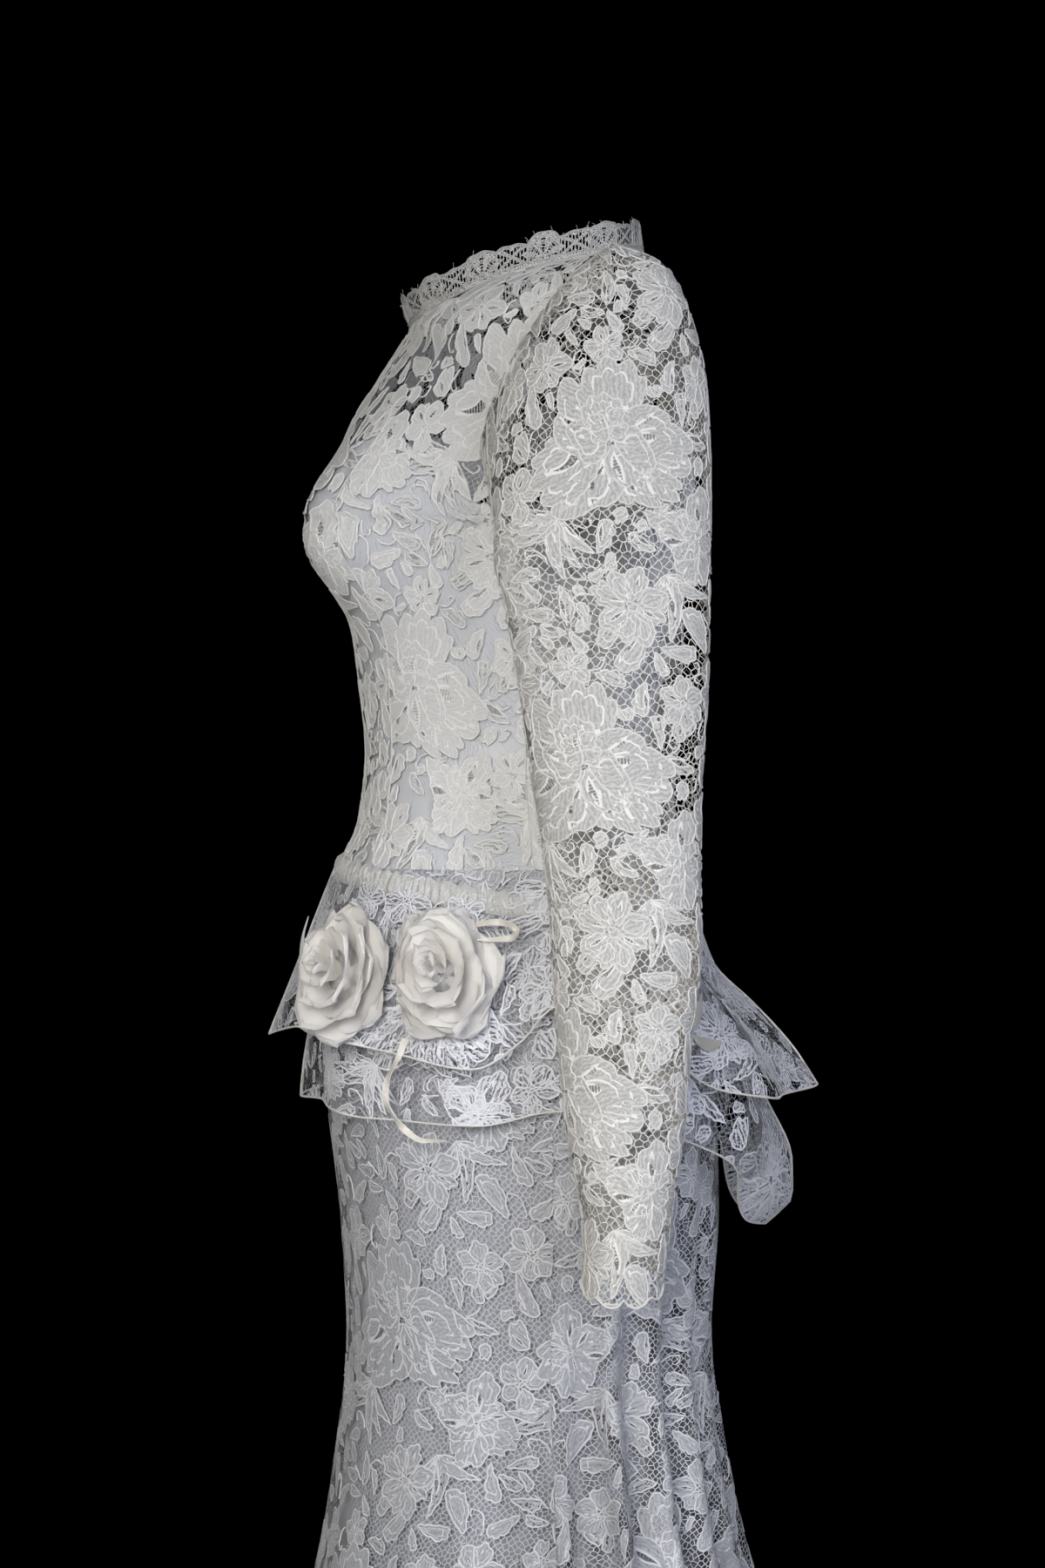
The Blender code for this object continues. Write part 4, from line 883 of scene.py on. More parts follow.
    def spray(self, place: Spot, angle: float, length: float, leaves: int, fan: float) -> None:
        """Long feathered leaves that spring from one foot."""
        for k in range(leaves):
            share = k / (leaves - 1) - 0.5
            way = angle + fan * share + self.jitter(0.08)
            long = length * (1 - 0.5 * abs(share)) * (1 + self.jitter(0.1))
            fill = Fill.DENSE if k % 2 else Fill.SHEER
            self.leaf(place, way, long, long * 0.3, 0.45 * (1 if share > 0 else -1), fill, 0.5)

    def sprig(self, place: Spot, angle: float, length: float, leaves: int, size: float,
            bend: float = 0.3) -> None:
        """A curved stem with leaves on both sides and one at its tip."""
        s = np.linspace(0, 1, 12)
        line = turned(stack(s * length, bend * length * s * s), angle, place)
        self.leaf(tuple(line[-1]), angle + 2 * bend, size, size * 0.46, self.jitter(0.2))
        for k in range(leaves - 1):
            share = 0.1 + 0.74 * k / max(leaves - 2, 1)
            foot = np.array([np.interp(share, s, line[:, axis]) for axis in (0, 1)])
            side = 1 if k % 2 else -1
            way = angle + 2 * bend * share + side * (0.95 + self.jitter(0.15))
            long = size * (1.1 - 0.25 * share) * (1 + self.jitter(0.12))
            self.leaf(tuple(foot), way, long, long * 0.5, -side * 0.4, notch=0.5 * (k % 2))
        self.stem(*[tuple(p) for p in line[::4]])

    def grow_between(self, size: float, tries: int, fill: Fill) -> None:
        """Grows small leaves where the chart is still bare."""

        def copies(motif: Motif) -> list[Array]:
            """A motif's outline in this repeat and in those around it."""
            return [motif.outline[::3] + shift for shift in self.shifts()]

        def boxes_of(outlines: list[Array]) -> Array:
            """The lowest and highest corner round each outline."""
            return np.array([[*outline.min(0), *outline.max(0)] for outline in outlines])

        outlines = [line for motif in self.motifs if motif.closed for line in copies(motif)]
        boxes = boxes_of(outlines)
        for _ in range(tries):
            place = (self.jitter(self.width / 2), self.jitter(self.height / 2))
            angle = float(self.random.uniform(0, TAU))
            long = size * (1 + self.jitter(0.25))
            bend = 0.55 * math.copysign(1, self.jitter(1.0)) + self.jitter(0.3)
            kind = self.random.random()
            if kind < (0.34 if size < 0.016 else 0.0):
                self.curl(place, angle, long)
            elif kind < 0.66:
                self.leaf(place, angle, long, long * 0.5, bend, fill, notch=0.6)
            else:
                self.petal(place, angle, long * 0.8, long * 0.8, fill, 2.4, 0.13, 0.5 * bend)
            motif = self.motifs[-1]
            middle = motif.outline.mean(0)
            room = middle + (motif.outline - middle) * 1.07
            near = (boxes[:, :2] < room.max(0)).all(1) & (boxes[:, 2:] > room.min(0)).all(1)
            others = [outlines[n] for n in np.flatnonzero(near)]
            if any(within(other, room).any() or within(room, other).any() for other in others):
                self.motifs.pop()
                continue
            outlines += copies(motif)
            boxes = np.concatenate([boxes, boxes_of(copies(motif))])

    def draw(self) -> None:
        """Draws the motifs of one repeat, from the uppermost down."""
        mm = 0.001
        self.peony((0, 0), 47 * mm, 0.25)
        self.flower((12 * mm, -104 * mm), 23 * mm, 8, 0.4)
        self.peony((60 * mm, -60 * mm), 27 * mm, 0.9)
        self.flower((-49 * mm, 50 * mm), 18 * mm, 6, 0.2)
        self.flower((-62 * mm, -34 * mm), 16 * mm, 5, 1.4)
        self.flower((-6 * mm, 62 * mm), 13 * mm, 5, 0.6)
        self.flower((66 * mm, 40 * mm), 16 * mm, 6, 0.5)
        self.leaf((22 * mm, 64 * mm), 0.35, 30 * mm, 15 * mm, 0.5, Fill.DENSE, 0.6)
        self.leaf((16 * mm, 74 * mm), 1.3, 24 * mm, 12 * mm, -0.5, notch=0.6)
        self.leaf((-48 * mm, 12 * mm), 2.5, 28 * mm, 14 * mm, -0.6, Fill.DENSE, 0.6)
        self.spray((-34 * mm, -46 * mm), 4.25, 44 * mm, 6, 1.8)
        self.spray((36 * mm, -84 * mm), -1.2, 38 * mm, 5, 1.6)
        self.sprig((50 * mm, 6 * mm), 0.2, 20 * mm, 3, 22 * mm, 0.5)
        self.sprig((-30 * mm, -116 * mm), 2.2, 26 * mm, 4, 20 * mm, 0.35)
        self.sprig((12 * mm, -58 * mm), 0.1, 20 * mm, 3, 18 * mm, 0.2)
        self.grow_between(27 * mm, 420, Fill.DENSE)
        self.grow_between(20 * mm, 420, Fill.SHEER)
        self.grow_between(15 * mm, 420, Fill.DENSE)
        if self.smallest:
            self.grow_between(11 * mm, 420, Fill.DENSE)

    def shifts(self) -> list[Array]:
        """How far the repeats around this one lie from it."""
        return [
            np.array([i * self.width - j * self.shift, j * self.height])
            for j in (-1, 0, 1)
            for i in (-2, -1, 0, 1, 2)
        ]

    def visible(self) -> list[tuple[Motif, Array, Array]]:
        """Each motif with its evened outline and which of its points no earlier motif hides."""
        placed: list[Array] = []
        shown = []
        around = self.shifts()
        for motif in self.motifs:
            round_it = np.linalg.norm(np.diff(motif.outline, axis=0), axis=1).sum()
            step = float(np.clip(round_it / 24, 0.65 * self.step, self.step))
            outline = even(motif.outline, step, motif.closed)
            outline = outline + 0.00042 * np.sin(outline[:, ::-1] * (760.0, 910.0) + motif.root[0])
            free = np.ones(len(outline), bool)
            low, high = outline.min(0), outline.max(0)
            for earlier in placed:
                for shift in around:
                    moved = earlier + shift
                    if (moved.max(0) < low).any() or (moved.min(0) > high).any():
                        continue
                    free &= ~within(moved, outline)
            if motif.closed and motif.fill is not Fill.OPEN:
                placed.append(motif.outline[::2])
            shown.append((motif, outline, free))
        return shown


@dataclass
class Repeat:
    """The meshes of one repeat, flat.

    Work holds, for each point, its share of the way from the root to the tip, its share of the
    way from the middle to the outline, and how far aside of the motif's axis it lies.
    """

    spots: Array
    lift: Array
    faces: Array
    slots: Array
    weave: Array
    work: Array
    chart: LaceChart


@dataclass(frozen=True)
class CordWork:
    """Sizes of the cords and plates that stand on the net."""

    half_width: float = 0.00058
    height: float = 0.00065
    plate_low: float = 0.00012
    plate_high: float = 0.00055
    raised: bool = True  # cords as ridges of their own; otherwise as the rims of the plates


CORD_SLOT, DENSE_SLOT, SHEER_SLOT = 0, 1, 2


class RepeatMaker:
    """Turns a chart into flat triangles: a fan for each fill, and its cord as a ridge or a rim."""

    def __init__(self, chart: LaceChart, work: CordWork) -> None:
        """Makes the parts of every motif."""
        self.work, self.total = work, 0
        self.parts: list[tuple[Array, ...]] = []
        shown = chart.visible()
        for number, (motif, outline, free) in enumerate(shown):
            base = work.plate_high + (work.plate_low - work.plate_high) * number / len(shown)
            self.offset = np.array([0.113 * (number % 17), 0.171 * (number % 13)])
            if motif.closed and free.mean() > 0.12:
                self.plate(motif, outline, base)
            if not motif.closed or work.raised:
                self.ridge(outline, free, motif.closed, base)
        self.repeat = Repeat(*join(self.parts), chart)

    def add(self, points: Array, up: Array, loops: Array, slot: int, weave: Array, work: Array) -> None:
        """Adds one part of the lace."""
        slots = np.full(len(loops), slot)
        self.parts.append((points, up, loops + self.total, slots, weave, work))
        self.total += len(points)

    def plate(self, motif: Motif, outline: Array, base: float) -> None:
        """The worked inside of a motif, and its rim where cords aren't raised."""
        ahead = np.roll(outline, -1, axis=0)
        tangent = unit(ahead - np.roll(outline, 1, axis=0))
        normal = stack(-tangent[:, 1], tangent[:, 0])
        turning = (outline[:, 0] * ahead[:, 1] - outline[:, 1] * ahead[:, 0]).sum()
        inset = outline + normal * (2 * self.work.half_width * (1 if turning > 0 else -1))
        edge = outline if self.work.raised else inset
        count, middle = len(outline), edge.mean(0)
        k = np.arange(count)
        after = (k + 1) % count
        rings, rim = [middle[None], edge], [0.0, 1.0]
        if self.work.raised and np.linalg.norm(edge - middle, axis=1).max() > 0.01:
            rings, rim = [rings[0], middle + (edge - middle) * 0.55, edge], [0.0, 0.55, 1.0]
        loops = [stack(0 * k, 1 + k, 1 + after)]
        if len(rings) > 2:
            outer = 1 + count + stack(k, after)
            loops.append(stack(1 + k, outer[:, 0], outer[:, 1]))
            loops.append(stack(1 + k, outer[:, 1], 1 + after))
        rim = np.repeat(rim, [len(ring) for ring in rings])
        points = np.concatenate(rings)
        from_root = points - motif.root
        side = from_root @ np.array([-motif.axis[1], motif.axis[0]])
        weave = stack(from_root @ motif.axis, side) + self.offset
        far = np.linalg.norm(from_root, axis=1)
        slot = DENSE_SLOT if motif.fill is Fill.DENSE else SHEER_SLOT
        height = np.full(len(points), base)
        work = stack(far, rim * far.max(), side) / far.max()
        self.add(points, height, np.concatenate(loops), slot, weave, work)
        if not self.work.raised:
            points = np.concatenate([inset, outline])
            ring = stack(k, k + count, after + count, after)
            loops = np.concatenate([ring[:, :3], ring[:, [0, 2, 3]]])
            self.cord(points, np.full(2 * count, base), loops, np.repeat([0.0, 1.0], count))

    def cord(self, points: Array, up: Array, loops: Array, rim: Array) -> None:
        """Adds part of a cord; rim is 0 to 1 across it."""
        work = stack(0 * rim, rim, 0 * rim)
        self.add(points, up, loops, CORD_SLOT, points + self.offset, work)

    def ridge(self, line: Array, free: Array, closed: bool, base: float) -> None:
        """A cord of its own along a line, where no other motif hides it."""
        if closed:
            tangent = np.roll(line, -1, axis=0) - np.roll(line, 1, axis=0)
        else:
            tangent = np.gradient(line, axis=0)
        tangent = unit(tangent)
        side = stack(-tangent[:, 1], tangent[:, 0]) * self.work.half_width
        points = np.concatenate([line - side, line, line + side])
        n = len(line)
        up = np.repeat([base - 1e-4, base + self.work.height, base - 1e-4], n)
        k = np.arange(n if closed else n - 1)
        ahead = (k + 1) % n
        keep = free[k] & free[ahead]
        k, ahead = k[keep], ahead[keep]
        loops = np.concatenate([stack(k, n + ahead, n + k), stack(k, ahead, n + ahead),
            stack(n + k, 2 * n + ahead, 2 * n + k), stack(n + k, n + ahead, 2 * n + ahead)])
        self.cord(points, up, loops, np.ones(3 * n))


# ---------------------------------------------------------------- finishes
# Painted shade: every material's colour is blended towards this dark colour by its fold attribute, in the
# troughs of the skirt's creases.
PAINTED_FOLD_SHADE = (0.075, 0.07, 0.065, 1.0)  # the colour of a fold that no light reaches


class NodeMaker:
    """Adds and links the nodes of one tree."""

    tree: bpy.types.NodeTree

    def put(self, socket: Socket, value: object) -> None:
        """Sets or links one socket."""
        value = value.socket if isinstance(value, Value) else value
        if isinstance(value, Socket):
            self.tree.links.new(value, socket)
        else:
            socket.default_value = value

    def add(self, kind: str, inputs: dict, **settings: object) -> bpy.types.Node:
        """Adds a node; inputs are sockets by name or number, each with a value or what to link."""
        node = self.tree.nodes.new(kind)
        for key, value in settings.items():
            setattr(node, key, value)
        for key, value in inputs.items():
            self.put(node.inputs[key], value)
        return node


def calculation(operation: str, swapped: bool = False) -> Callable:
    """A method of Value that adds one Math node."""

    def method(self: "Value", other: object = None) -> "Value":
        """The result of the node."""
        return self.nodes.math(operation, *((other, self) if swapped else (self, other)))

    return method


class Value:
    """A number or colour in a material; the signs of sums on it add Math nodes, | is the larger."""

    __add__ = calculation("ADD")
    __mul__ = __rmul__ = calculation("MULTIPLY")
    __sub__, __rsub__ = calculation("SUBTRACT"), calculation("SUBTRACT", True)
    __truediv__, __or__ = calculation("DIVIDE"), calculation("MAXIMUM")
    __lt__, __gt__ = calculation("LESS_THAN"), calculation("GREATER_THAN")
    __abs__ = calculation("ABSOLUTE")

    def __init__(self, nodes: "Nodes", socket: Socket) -> None:
        """Wraps a socket."""
        self.nodes, self.socket = nodes, socket


class Nodes(NodeMaker):
    """The nodes of one material."""

    def __init__(self, name: str) -> None:
        """Starts a material with a Principled shader."""
        self.material = bpy.data.materials.new(name)
        self.material.use_nodes = True
        self.tree = self.material.node_tree
        self.shader = self.tree.nodes["Principled BSDF"]

    def read(self, kind: str, output: str | int, inputs: dict, **settings: object) -> Value:
        """One output of a new node."""
        return Value(self, self.add("ShaderNode" + kind, inputs, **settings).outputs[output])

    def math(self, operation: str, *values: object) -> Value:
        """The result of a sum on numbers."""
        inputs = {k: value for k, value in enumerate(values) if value is not None}
        return self.read("Math", 0, inputs, operation=operation)

    def mix(self, share: object, first: object, second: object, kind: str = "FLOAT") -> Value:
        """A blend of two numbers, or of two colours where kind is RGBA."""
        low, output = (2, 0) if kind == "FLOAT" else (6, 2)
        return self.read("Mix", output, {0: share, low: first, low + 1: second}, data_type=kind)

    def parts(self, vector: object) -> list[Value]:
        """The three numbers of a vector."""
        node = self.add("ShaderNodeSeparateXYZ", {0: vector})
        return [Value(self, socket) for socket in node.outputs]

    def work(self) -> list[Value]:
        """The lace's own numbers, as Repeat describes them."""
        return self.parts(self.read("Attribute", "Vector", {}, attribute_name="work"))

    def pattern(self) -> Value:
        """The piece's flat coordinates in metres."""
        return self.read("UVMap", 0, {}, uv_map="pattern")

    def place(self) -> Value:
        """Places in the dress's own metres."""
        return self.read("TexCoord", "Object", {})

    def noise(self, at: object, scale: float, detail: float = 2.0) -> Value:
        """A soft noise."""
        return self.read("TexNoise", 0, {"Vector": at, "Scale": scale, "Detail": detail})

    def wave(self, at: object, scale: float, way: str = "X", **inputs: float) -> Value:
        """Soft bands across one direction."""
        named = {key.replace("_", " "): value for key, value in inputs.items()}
        fields = {"Vector": at, "Scale": scale, **named}
        return self.read("TexWave", "Fac", fields, bands_direction=way)

    def ramp(self, at: object, *ends: object) -> Value:
        """A number brought from one range to another."""
        return self.read("MapRange", 0, dict(enumerate((at, *ends))))

    def bump(self, height: object, strength: float, distance: float, **normal: object) -> Value:
        """A bent surface direction."""
        fields = {"Height": height, "Strength": strength, "Distance": distance, **normal}
        return self.read("Bump", 0, fields)

    def between(self, share: object, low: tuple, high: tuple) -> Value:
        """A colour between two, by a share."""
        ramp = self.add("ShaderNodeValToRGB", {"Fac": share})
        for element, colour in zip(ramp.color_ramp.elements, (low, high)):
            element.color = (*colour, 1.0)
        return Value(self, ramp.outputs[0])

    def finish(self, **inputs: object) -> Material:
        """Sets the shader's sockets, paints shade into deep folds by the fold attribute and hands over the
        material.
        """
        # Painted shade: the fold attribute blends the colour towards the dark fold colour.
        fold = self.read("Attribute", "Fac", {}, attribute_name="fold")
        inputs["Base_Color"] = self.mix(fold, inputs["Base_Color"], PAINTED_FOLD_SHADE, "RGBA")
        for key, value in inputs.items():
            self.put(self.shader.inputs[key.replace("_", " ")], value)
        return self.material


@dataclass(frozen=True)
class NetFinish:
    """The six-sided net ground, with open cells of an uneven size."""

    name: str
    cell: float
    thread: float
    uneven: float = 0.66
    colour: tuple = (0.84, 0.82, 0.77)
    shade: tuple = (0.72, 0.69, 0.63)
    sleeve: bool = False  # whether the side that faces the body has threads of its own
    yoke: bool = False  # whether the net is finer above the satin
    inner_head: float = 0.0001  # threads of a sleeve's inner side at its head
    inner_arm: float = 0.0026  # and down the arm

    def material(self) -> Material:
        """Cotton threads with nothing between them."""
        n = Nodes(self.name)
        turned = n.read("Mapping", 0, {"Vector": n.pattern(), "Rotation": (0.0, 0.0, 0.78)})
        fields = {"Vector": turned, "Scale": 1 / self.cell, "Randomness": self.uneven}
        settings = {"feature": "DISTANCE_TO_EDGE", "voronoi_dimensions": "2D"}
        far = n.read("TexVoronoi", "Distance", fields, **settings)
        wide: object = 0.5 * self.thread / self.cell
        if self.sleeve or self.yoke:
            x, _, z = n.parts(n.place())
        if self.sleeve:
            ends = self.inner_arm / self.cell / 2, self.inner_head / self.cell / 2
            inner = n.ramp(z, -0.45, -0.31, *ends)
            wide = n.ramp(abs(x) + z * 0.099, 0.172, 0.186, inner, wide)
        if self.yoke:
            wide = n.ramp(z, -0.18, -0.13, wide, 0.45 * wide)
        tint = n.between(n.noise(n.place(), 60.0), self.shade, self.colour)
        return n.finish(Base_Color=tint, Alpha=far < wide, Roughness=0.75, Sheen_Weight=0.2)


@dataclass(frozen=True)
class CordFinish:
    """The raised cord round each flower: plied cotton with a low shine."""

    name: str
    colour: tuple
    shade: tuple
    ply: float = 900.0

    def material(self) -> Material:
        """Cord with the turns of its plies as bump."""
        n = Nodes(self.name)
        place, rim = n.place(), n.work()[1]
        tint = n.between(n.noise(place, 140.0), self.shade, self.colour)
        ply = n.bump(n.wave(place, self.ply, Distortion=3.0), 0.25, 0.0002)
        bump = n.bump(rim * (1.0 - rim), 0.6, 0.0014, Normal=ply)
        return n.finish(Base_Color=tint, Roughness=0.62, Sheen_Weight=0.25, Normal=bump)


@dataclass(frozen=True)
class FillFinish:
    """The worked inside of a flower or leaf: hatched threads, ribbed slots and inner cords."""

    name: str
    cover: float  # how much of the cloth the threads cover
    slot: float  # half the width of the ribbed slot, as a share of the motif's length
    colour: tuple
    shade: tuple
    fold_colour: tuple = (0.93, 0.92, 0.89)

    def material(self) -> Material:
        """Hatching, a ribbed slot up from the root, and cords that run inside the outline."""
        n = Nodes(self.name)
        flat = n.pattern()
        tone, rim, aside = n.work()
        hatch = n.wave(flat, 105.0, "Y", Distortion=7.0, Detail=2.0, Detail_Scale=2.0)
        weave = hatch * 0.5 + n.noise(flat, 400.0, 3.0) * 0.8
        other = n.noise(flat, 48.0, 1.0)
        sway = (n.noise(flat, 38.0, 1.0) - 0.5) * 0.3
        lane = abs(aside + sway)
        window = (1.0 - abs(tone - 0.44) / 0.34) | 0.0
        field = lane - window * self.slot
        inside = rim < 0.84
        some = inside * (other > 0.5)
        bare = (field < 0.0) * some
        cover = n.mix(bare, weave > 1.08 - self.cover, n.wave(flat, 150.0) > 0.5)
        beside = (abs(lane - 0.25) < 0.022) * (other > 0.55)
        echo = (abs(rim + sway - 0.62) < 0.038) * (other < 0.52)
        opened = (abs(field) < 0.02) * (some * (window > 0.02))
        fold = (beside | echo | opened) * inside
        worked = n.between(weave, self.shade, self.colour)
        # Painted shade: the threads of the ribbed slot are coloured darker than the worked threads, for the
        # dark seen through the slot; its open ribs are real.
        slot_shaded = n.mix(bare, worked, (*(0.8 * value for value in self.shade), 1.0), "RGBA")
        return n.finish(
            Base_Color=n.mix(fold, slot_shaded, (*self.fold_colour, 1.0), "RGBA"),
            Alpha=cover | fold,
            Roughness=0.8,
            Sheen_Weight=0.15,
            Normal=n.bump(weave * 0.5 + fold, 0.6, 0.0005),
        )


@dataclass(frozen=True)
class SatinFinish:
    """Satin: a close weave with a soft shine along the cloth."""

    name: str
    colour: tuple
    shade: tuple
    roughness: float = 0.38
    threads: float = 1400.0

    def material(self) -> Material:
        """Satin with fine floats and faint unevenness."""
        n = Nodes(self.name)
        place = n.place()
        weave = n.wave(place, self.threads / 3, Distortion=1.5)
        return n.finish(
            Base_Color=n.between(n.noise(place, 9.0, 4.0), self.shade, self.colour),
            Roughness=self.roughness,
            Sheen_Weight=0.35,
            Sheen_Roughness=0.4,
            Normal=n.bump(weave * 0.15 + n.noise(place, 26.0, 3.0), 0.16, 0.004),
        )


@dataclass(frozen=True)
class EdgingFinish:
    """The narrow neck edging: ribbed fans by turns with a crossed trellis, on a close base."""

    name: str
    colour: tuple = (0.8, 0.785, 0.755)
    shade: tuple = (0.46, 0.45, 0.43)

    def material(self) -> Material:
        """The pattern is read from the map: scallops along, share of the height up."""
        n = Nodes(self.name)
        along, up, _ = n.parts(n.pattern())
        x, high = n.math("FRACT", along) - 0.5, up - 0.2
        odd = n.math("FRACT", along * 0.5) > 0.5
        cross = abs(abs(up - 0.58) - abs(x) * 0.8)
        trellis = (cross > 0.07) * (cross < 0.23) * (n.math("SINE", along * 58.0) > -0.45)
        far = n.math("SQRT", x * x + high * high)
        ladder = n.math("COSINE", n.math("ARCTAN2", x, high) * 9.0) > 0.45
        steps = n.math("SINE", far * 66.0) > -0.35
        fan = ladder * steps * ((far > 0.16) * (far < 0.62))
        hole = n.mix(odd, fan, trellis) * ((up > 0.26) * (up < 0.9))
        place = n.place()
        return n.finish(
            Base_Color=n.between(n.noise(place, 420.0, 3.0), self.shade, self.colour),
            Alpha=(1.0 - hole) * (n.noise(place, 1500.0, 2.0) > 0.43),
            Roughness=0.8,
            Sheen_Weight=0.2,
            Normal=n.bump(n.noise(place, 700.0), 0.6, 0.0004),
        )


@dataclass(frozen=True)
class OrganzaFinish:
    """Silk organza: crisp, matt and slightly clear."""

    name: str
    colour: tuple = (0.955, 0.92, 0.875)
    shade: tuple = (0.9, 0.86, 0.81)
    alpha: float = 0.93

    def material(self) -> Material:
        """Organza with a plain weave and cloudy depth."""
        n = Nodes(self.name)
        flat, place = n.pattern(), n.place()
        weave = n.wave(flat, 420.0) + n.wave(flat, 420.0, "Y")
        return n.finish(
            Base_Color=n.between(n.noise(place, 45.0, 4.0), self.shade, self.colour),
            Roughness=0.72,
            Sheen_Weight=0.5,
            Alpha=self.alpha,
            Subsurface_Weight=0.65,
            Subsurface_Radius=(1.0, 1.0, 1.0),
            Subsurface_Scale=0.009,
            Normal=n.bump(weave * 0.12 + n.noise(place, 90.0, 4.0), 0.22, 0.001),
        )


@dataclass(frozen=True)
class FloorFinish:
    """A plain pale floor."""

    name: str = "pale_floor"

    def material(self) -> Material:
        """Matt paint."""
        n = Nodes(self.name)
        tint = n.between(n.noise(n.place(), 3.0), (0.66,) * 3, (0.7,) * 3)
        return n.finish(Base_Color=tint, Roughness=0.9)


# The dark threads of the fills.
SLEEVE_SHADE, SKIRT_SHADE, PEPLUM_SHADE = (0.3, 0.295, 0.275), (0.28, 0.285, 0.31), (0.4, 0.4, 0.45)
# The lace's colours differ by where it hangs, partly as painted light: the sleeve copy is darker and warmer,
# the skirt copy darker and bluer and the peplum copy bluer than the bodice copy, for the warm light above
# and the dim, cool light below.
# Four for each lace: its net, cords, dense fills and sheer fills.
LACES = {
    "sleeve": (
        NetFinish("net_ground", 0.0047, 0.00056, sleeve=True),
        CordFinish("lace_cord", (0.86, 0.84, 0.8), (0.74, 0.72, 0.68)),
        FillFinish("worked_petal", 0.88, 0.07, (0.68, 0.665, 0.635), SLEEVE_SHADE, (0.9, 0.88, 0.84)),
        FillFinish("sheer_leaf", 0.66, 0.1, (0.66, 0.645, 0.615), SLEEVE_SHADE, (0.88, 0.86, 0.82)),
    ),
    "bodice": (
        NetFinish("fine_net_ground", 0.003, 0.0003, 0.45, (0.8,) * 3, (0.7, 0.7, 0.71), yoke=True),
        CordFinish("bodice_cord", (0.9, 0.89, 0.87), (0.8, 0.79, 0.77)),
        FillFinish("bodice_petal", 0.86, 0.09, (0.79, 0.785, 0.77), (0.62, 0.615, 0.6), (0.9, 0.89, 0.865)),
        FillFinish("bodice_leaf", 0.58, 0.14, (0.75, 0.745, 0.73), (0.57, 0.565, 0.55), (0.88, 0.87, 0.845)),
    ),
    "skirt": (
        NetFinish("skirt_net_ground", 0.0034, 0.00052, 0.62, (0.74, 0.74, 0.76), (0.56, 0.56, 0.59)),
        CordFinish("skirt_cord", (0.84, 0.84, 0.85), (0.7, 0.7, 0.72)),
        FillFinish("skirt_petal", 0.76, 0.06, (0.54, 0.545, 0.57), SKIRT_SHADE, (0.78, 0.78, 0.8)),
        FillFinish("skirt_leaf", 0.58, 0.08, (0.52, 0.525, 0.55), SKIRT_SHADE, (0.76, 0.76, 0.78)),
    ),
    "peplum": (
        NetFinish("peplum_net_ground", 0.0036, 0.00022, 0.6, (0.72, 0.72, 0.76), (0.6, 0.6, 0.64)),
        CordFinish("peplum_cord", (0.9, 0.9, 0.93), (0.81, 0.81, 0.85)),
        FillFinish("peplum_petal", 0.44, 0.1, (0.76, 0.76, 0.8), PEPLUM_SHADE, (0.88, 0.88, 0.9)),
        FillFinish("peplum_leaf", 0.34, 0.12, (0.74, 0.74, 0.78), PEPLUM_SHADE, (0.86, 0.86, 0.88)),
    ),
}
PLAIN = {
    "gathers": FillFinish("gathered_heading", 0.97, 0.0, (0.74, 0.73, 0.7), (0.42, 0.41, 0.39)),
    "edging_cord": CordFinish("edging_cord", (0.66, 0.65, 0.625), (0.46, 0.45, 0.43)),
    "satin": SatinFinish("white_satin", (0.76, 0.77, 0.8), (0.7, 0.715, 0.75)),
    # Painted shade: the slip is a darker, bluer copy of the white satin, for the dim, cool light on the
    # skirt.
    "slip": SatinFinish("slip_satin", (0.5, 0.51, 0.55), (0.43, 0.44, 0.48)),
    "edge": SatinFinish("rolled_satin_edge", (0.86, 0.84, 0.79), (0.76, 0.73, 0.67)),
    "ribbon": SatinFinish("satin_ribbon", (0.83, 0.79, 0.71), (0.72, 0.675, 0.595), 0.34),
    "organza": OrganzaFinish("silk_organza"),
    "petal": OrganzaFinish("ecru_organza", (0.72, 0.66, 0.54), (0.6, 0.53, 0.42), 0.97),
    "edging": EdgingFinish("neck_edging_lace"),
    "floor": FloorFinish(),
}


# ---------------------------------------------------------------- shapes that follow a path
STITCH_SHARE = 0.38  # half a stitch's length, as a share of the pitch


class PathTree(NodeMaker):
    """Geometry Nodes that take lines as curves and end in one real mesh of one material."""

    def __init__(self, name: str, **inputs: str) -> None:
        """Starts a tree; inputs are its own named inputs, each with its kind."""
        self.tree = bpy.data.node_groups.new(name, "GeometryNodeTree")
        for key, kind in {"Geometry": "Geometry", **inputs, "Material": "Material"}.items():
            self.tree.interface.new_socket(key, in_out="INPUT", socket_type="NodeSocket" + kind)
        output = {"in_out": "OUTPUT", "socket_type": "NodeSocketGeometry"}
        self.tree.interface.new_socket("Geometry", **output)
        self.start = self.tree.nodes.new("NodeGroupInput").outputs
        self.curve = self.made("MeshToCurve", {0: self.start["Geometry"]})[0]

    def made(self, kind: str, inputs: dict, **settings: object) -> bpy.types.NodeOutputs:
        """The outputs of a new geometry node."""
        return self.add("GeometryNode" + kind, inputs, **settings).outputs

    def finish(self, shape: Socket) -> bpy.types.NodeTree:
        """Realizes the instances, sets the material and hands over the tree."""
        real = self.made("RealizeInstances", {0: shape})[0]
        dye = self.made("SetMaterial", {"Geometry": real, "Material": self.start["Material"]})
        self.add("NodeGroupOutput", {0: dye[0]})
        return self.tree


def swept_tree() -> bpy.types.NodeTree:
    """Sweeps a round section along lines; its inputs are Radius, Sides and Material."""
    path = PathTree("swept_cord", Radius="Float", Sides="Int")
    size = {"Radius": path.start["Radius"], "Resolution": path.start["Sides"]}
    section = path.made("CurvePrimitiveCircle", size)["Curve"]
    fields = {"Curve": path.curve, "Profile Curve": section, "Fill Caps": True}
    return path.finish(path.made("CurveToMesh", fields)[0])


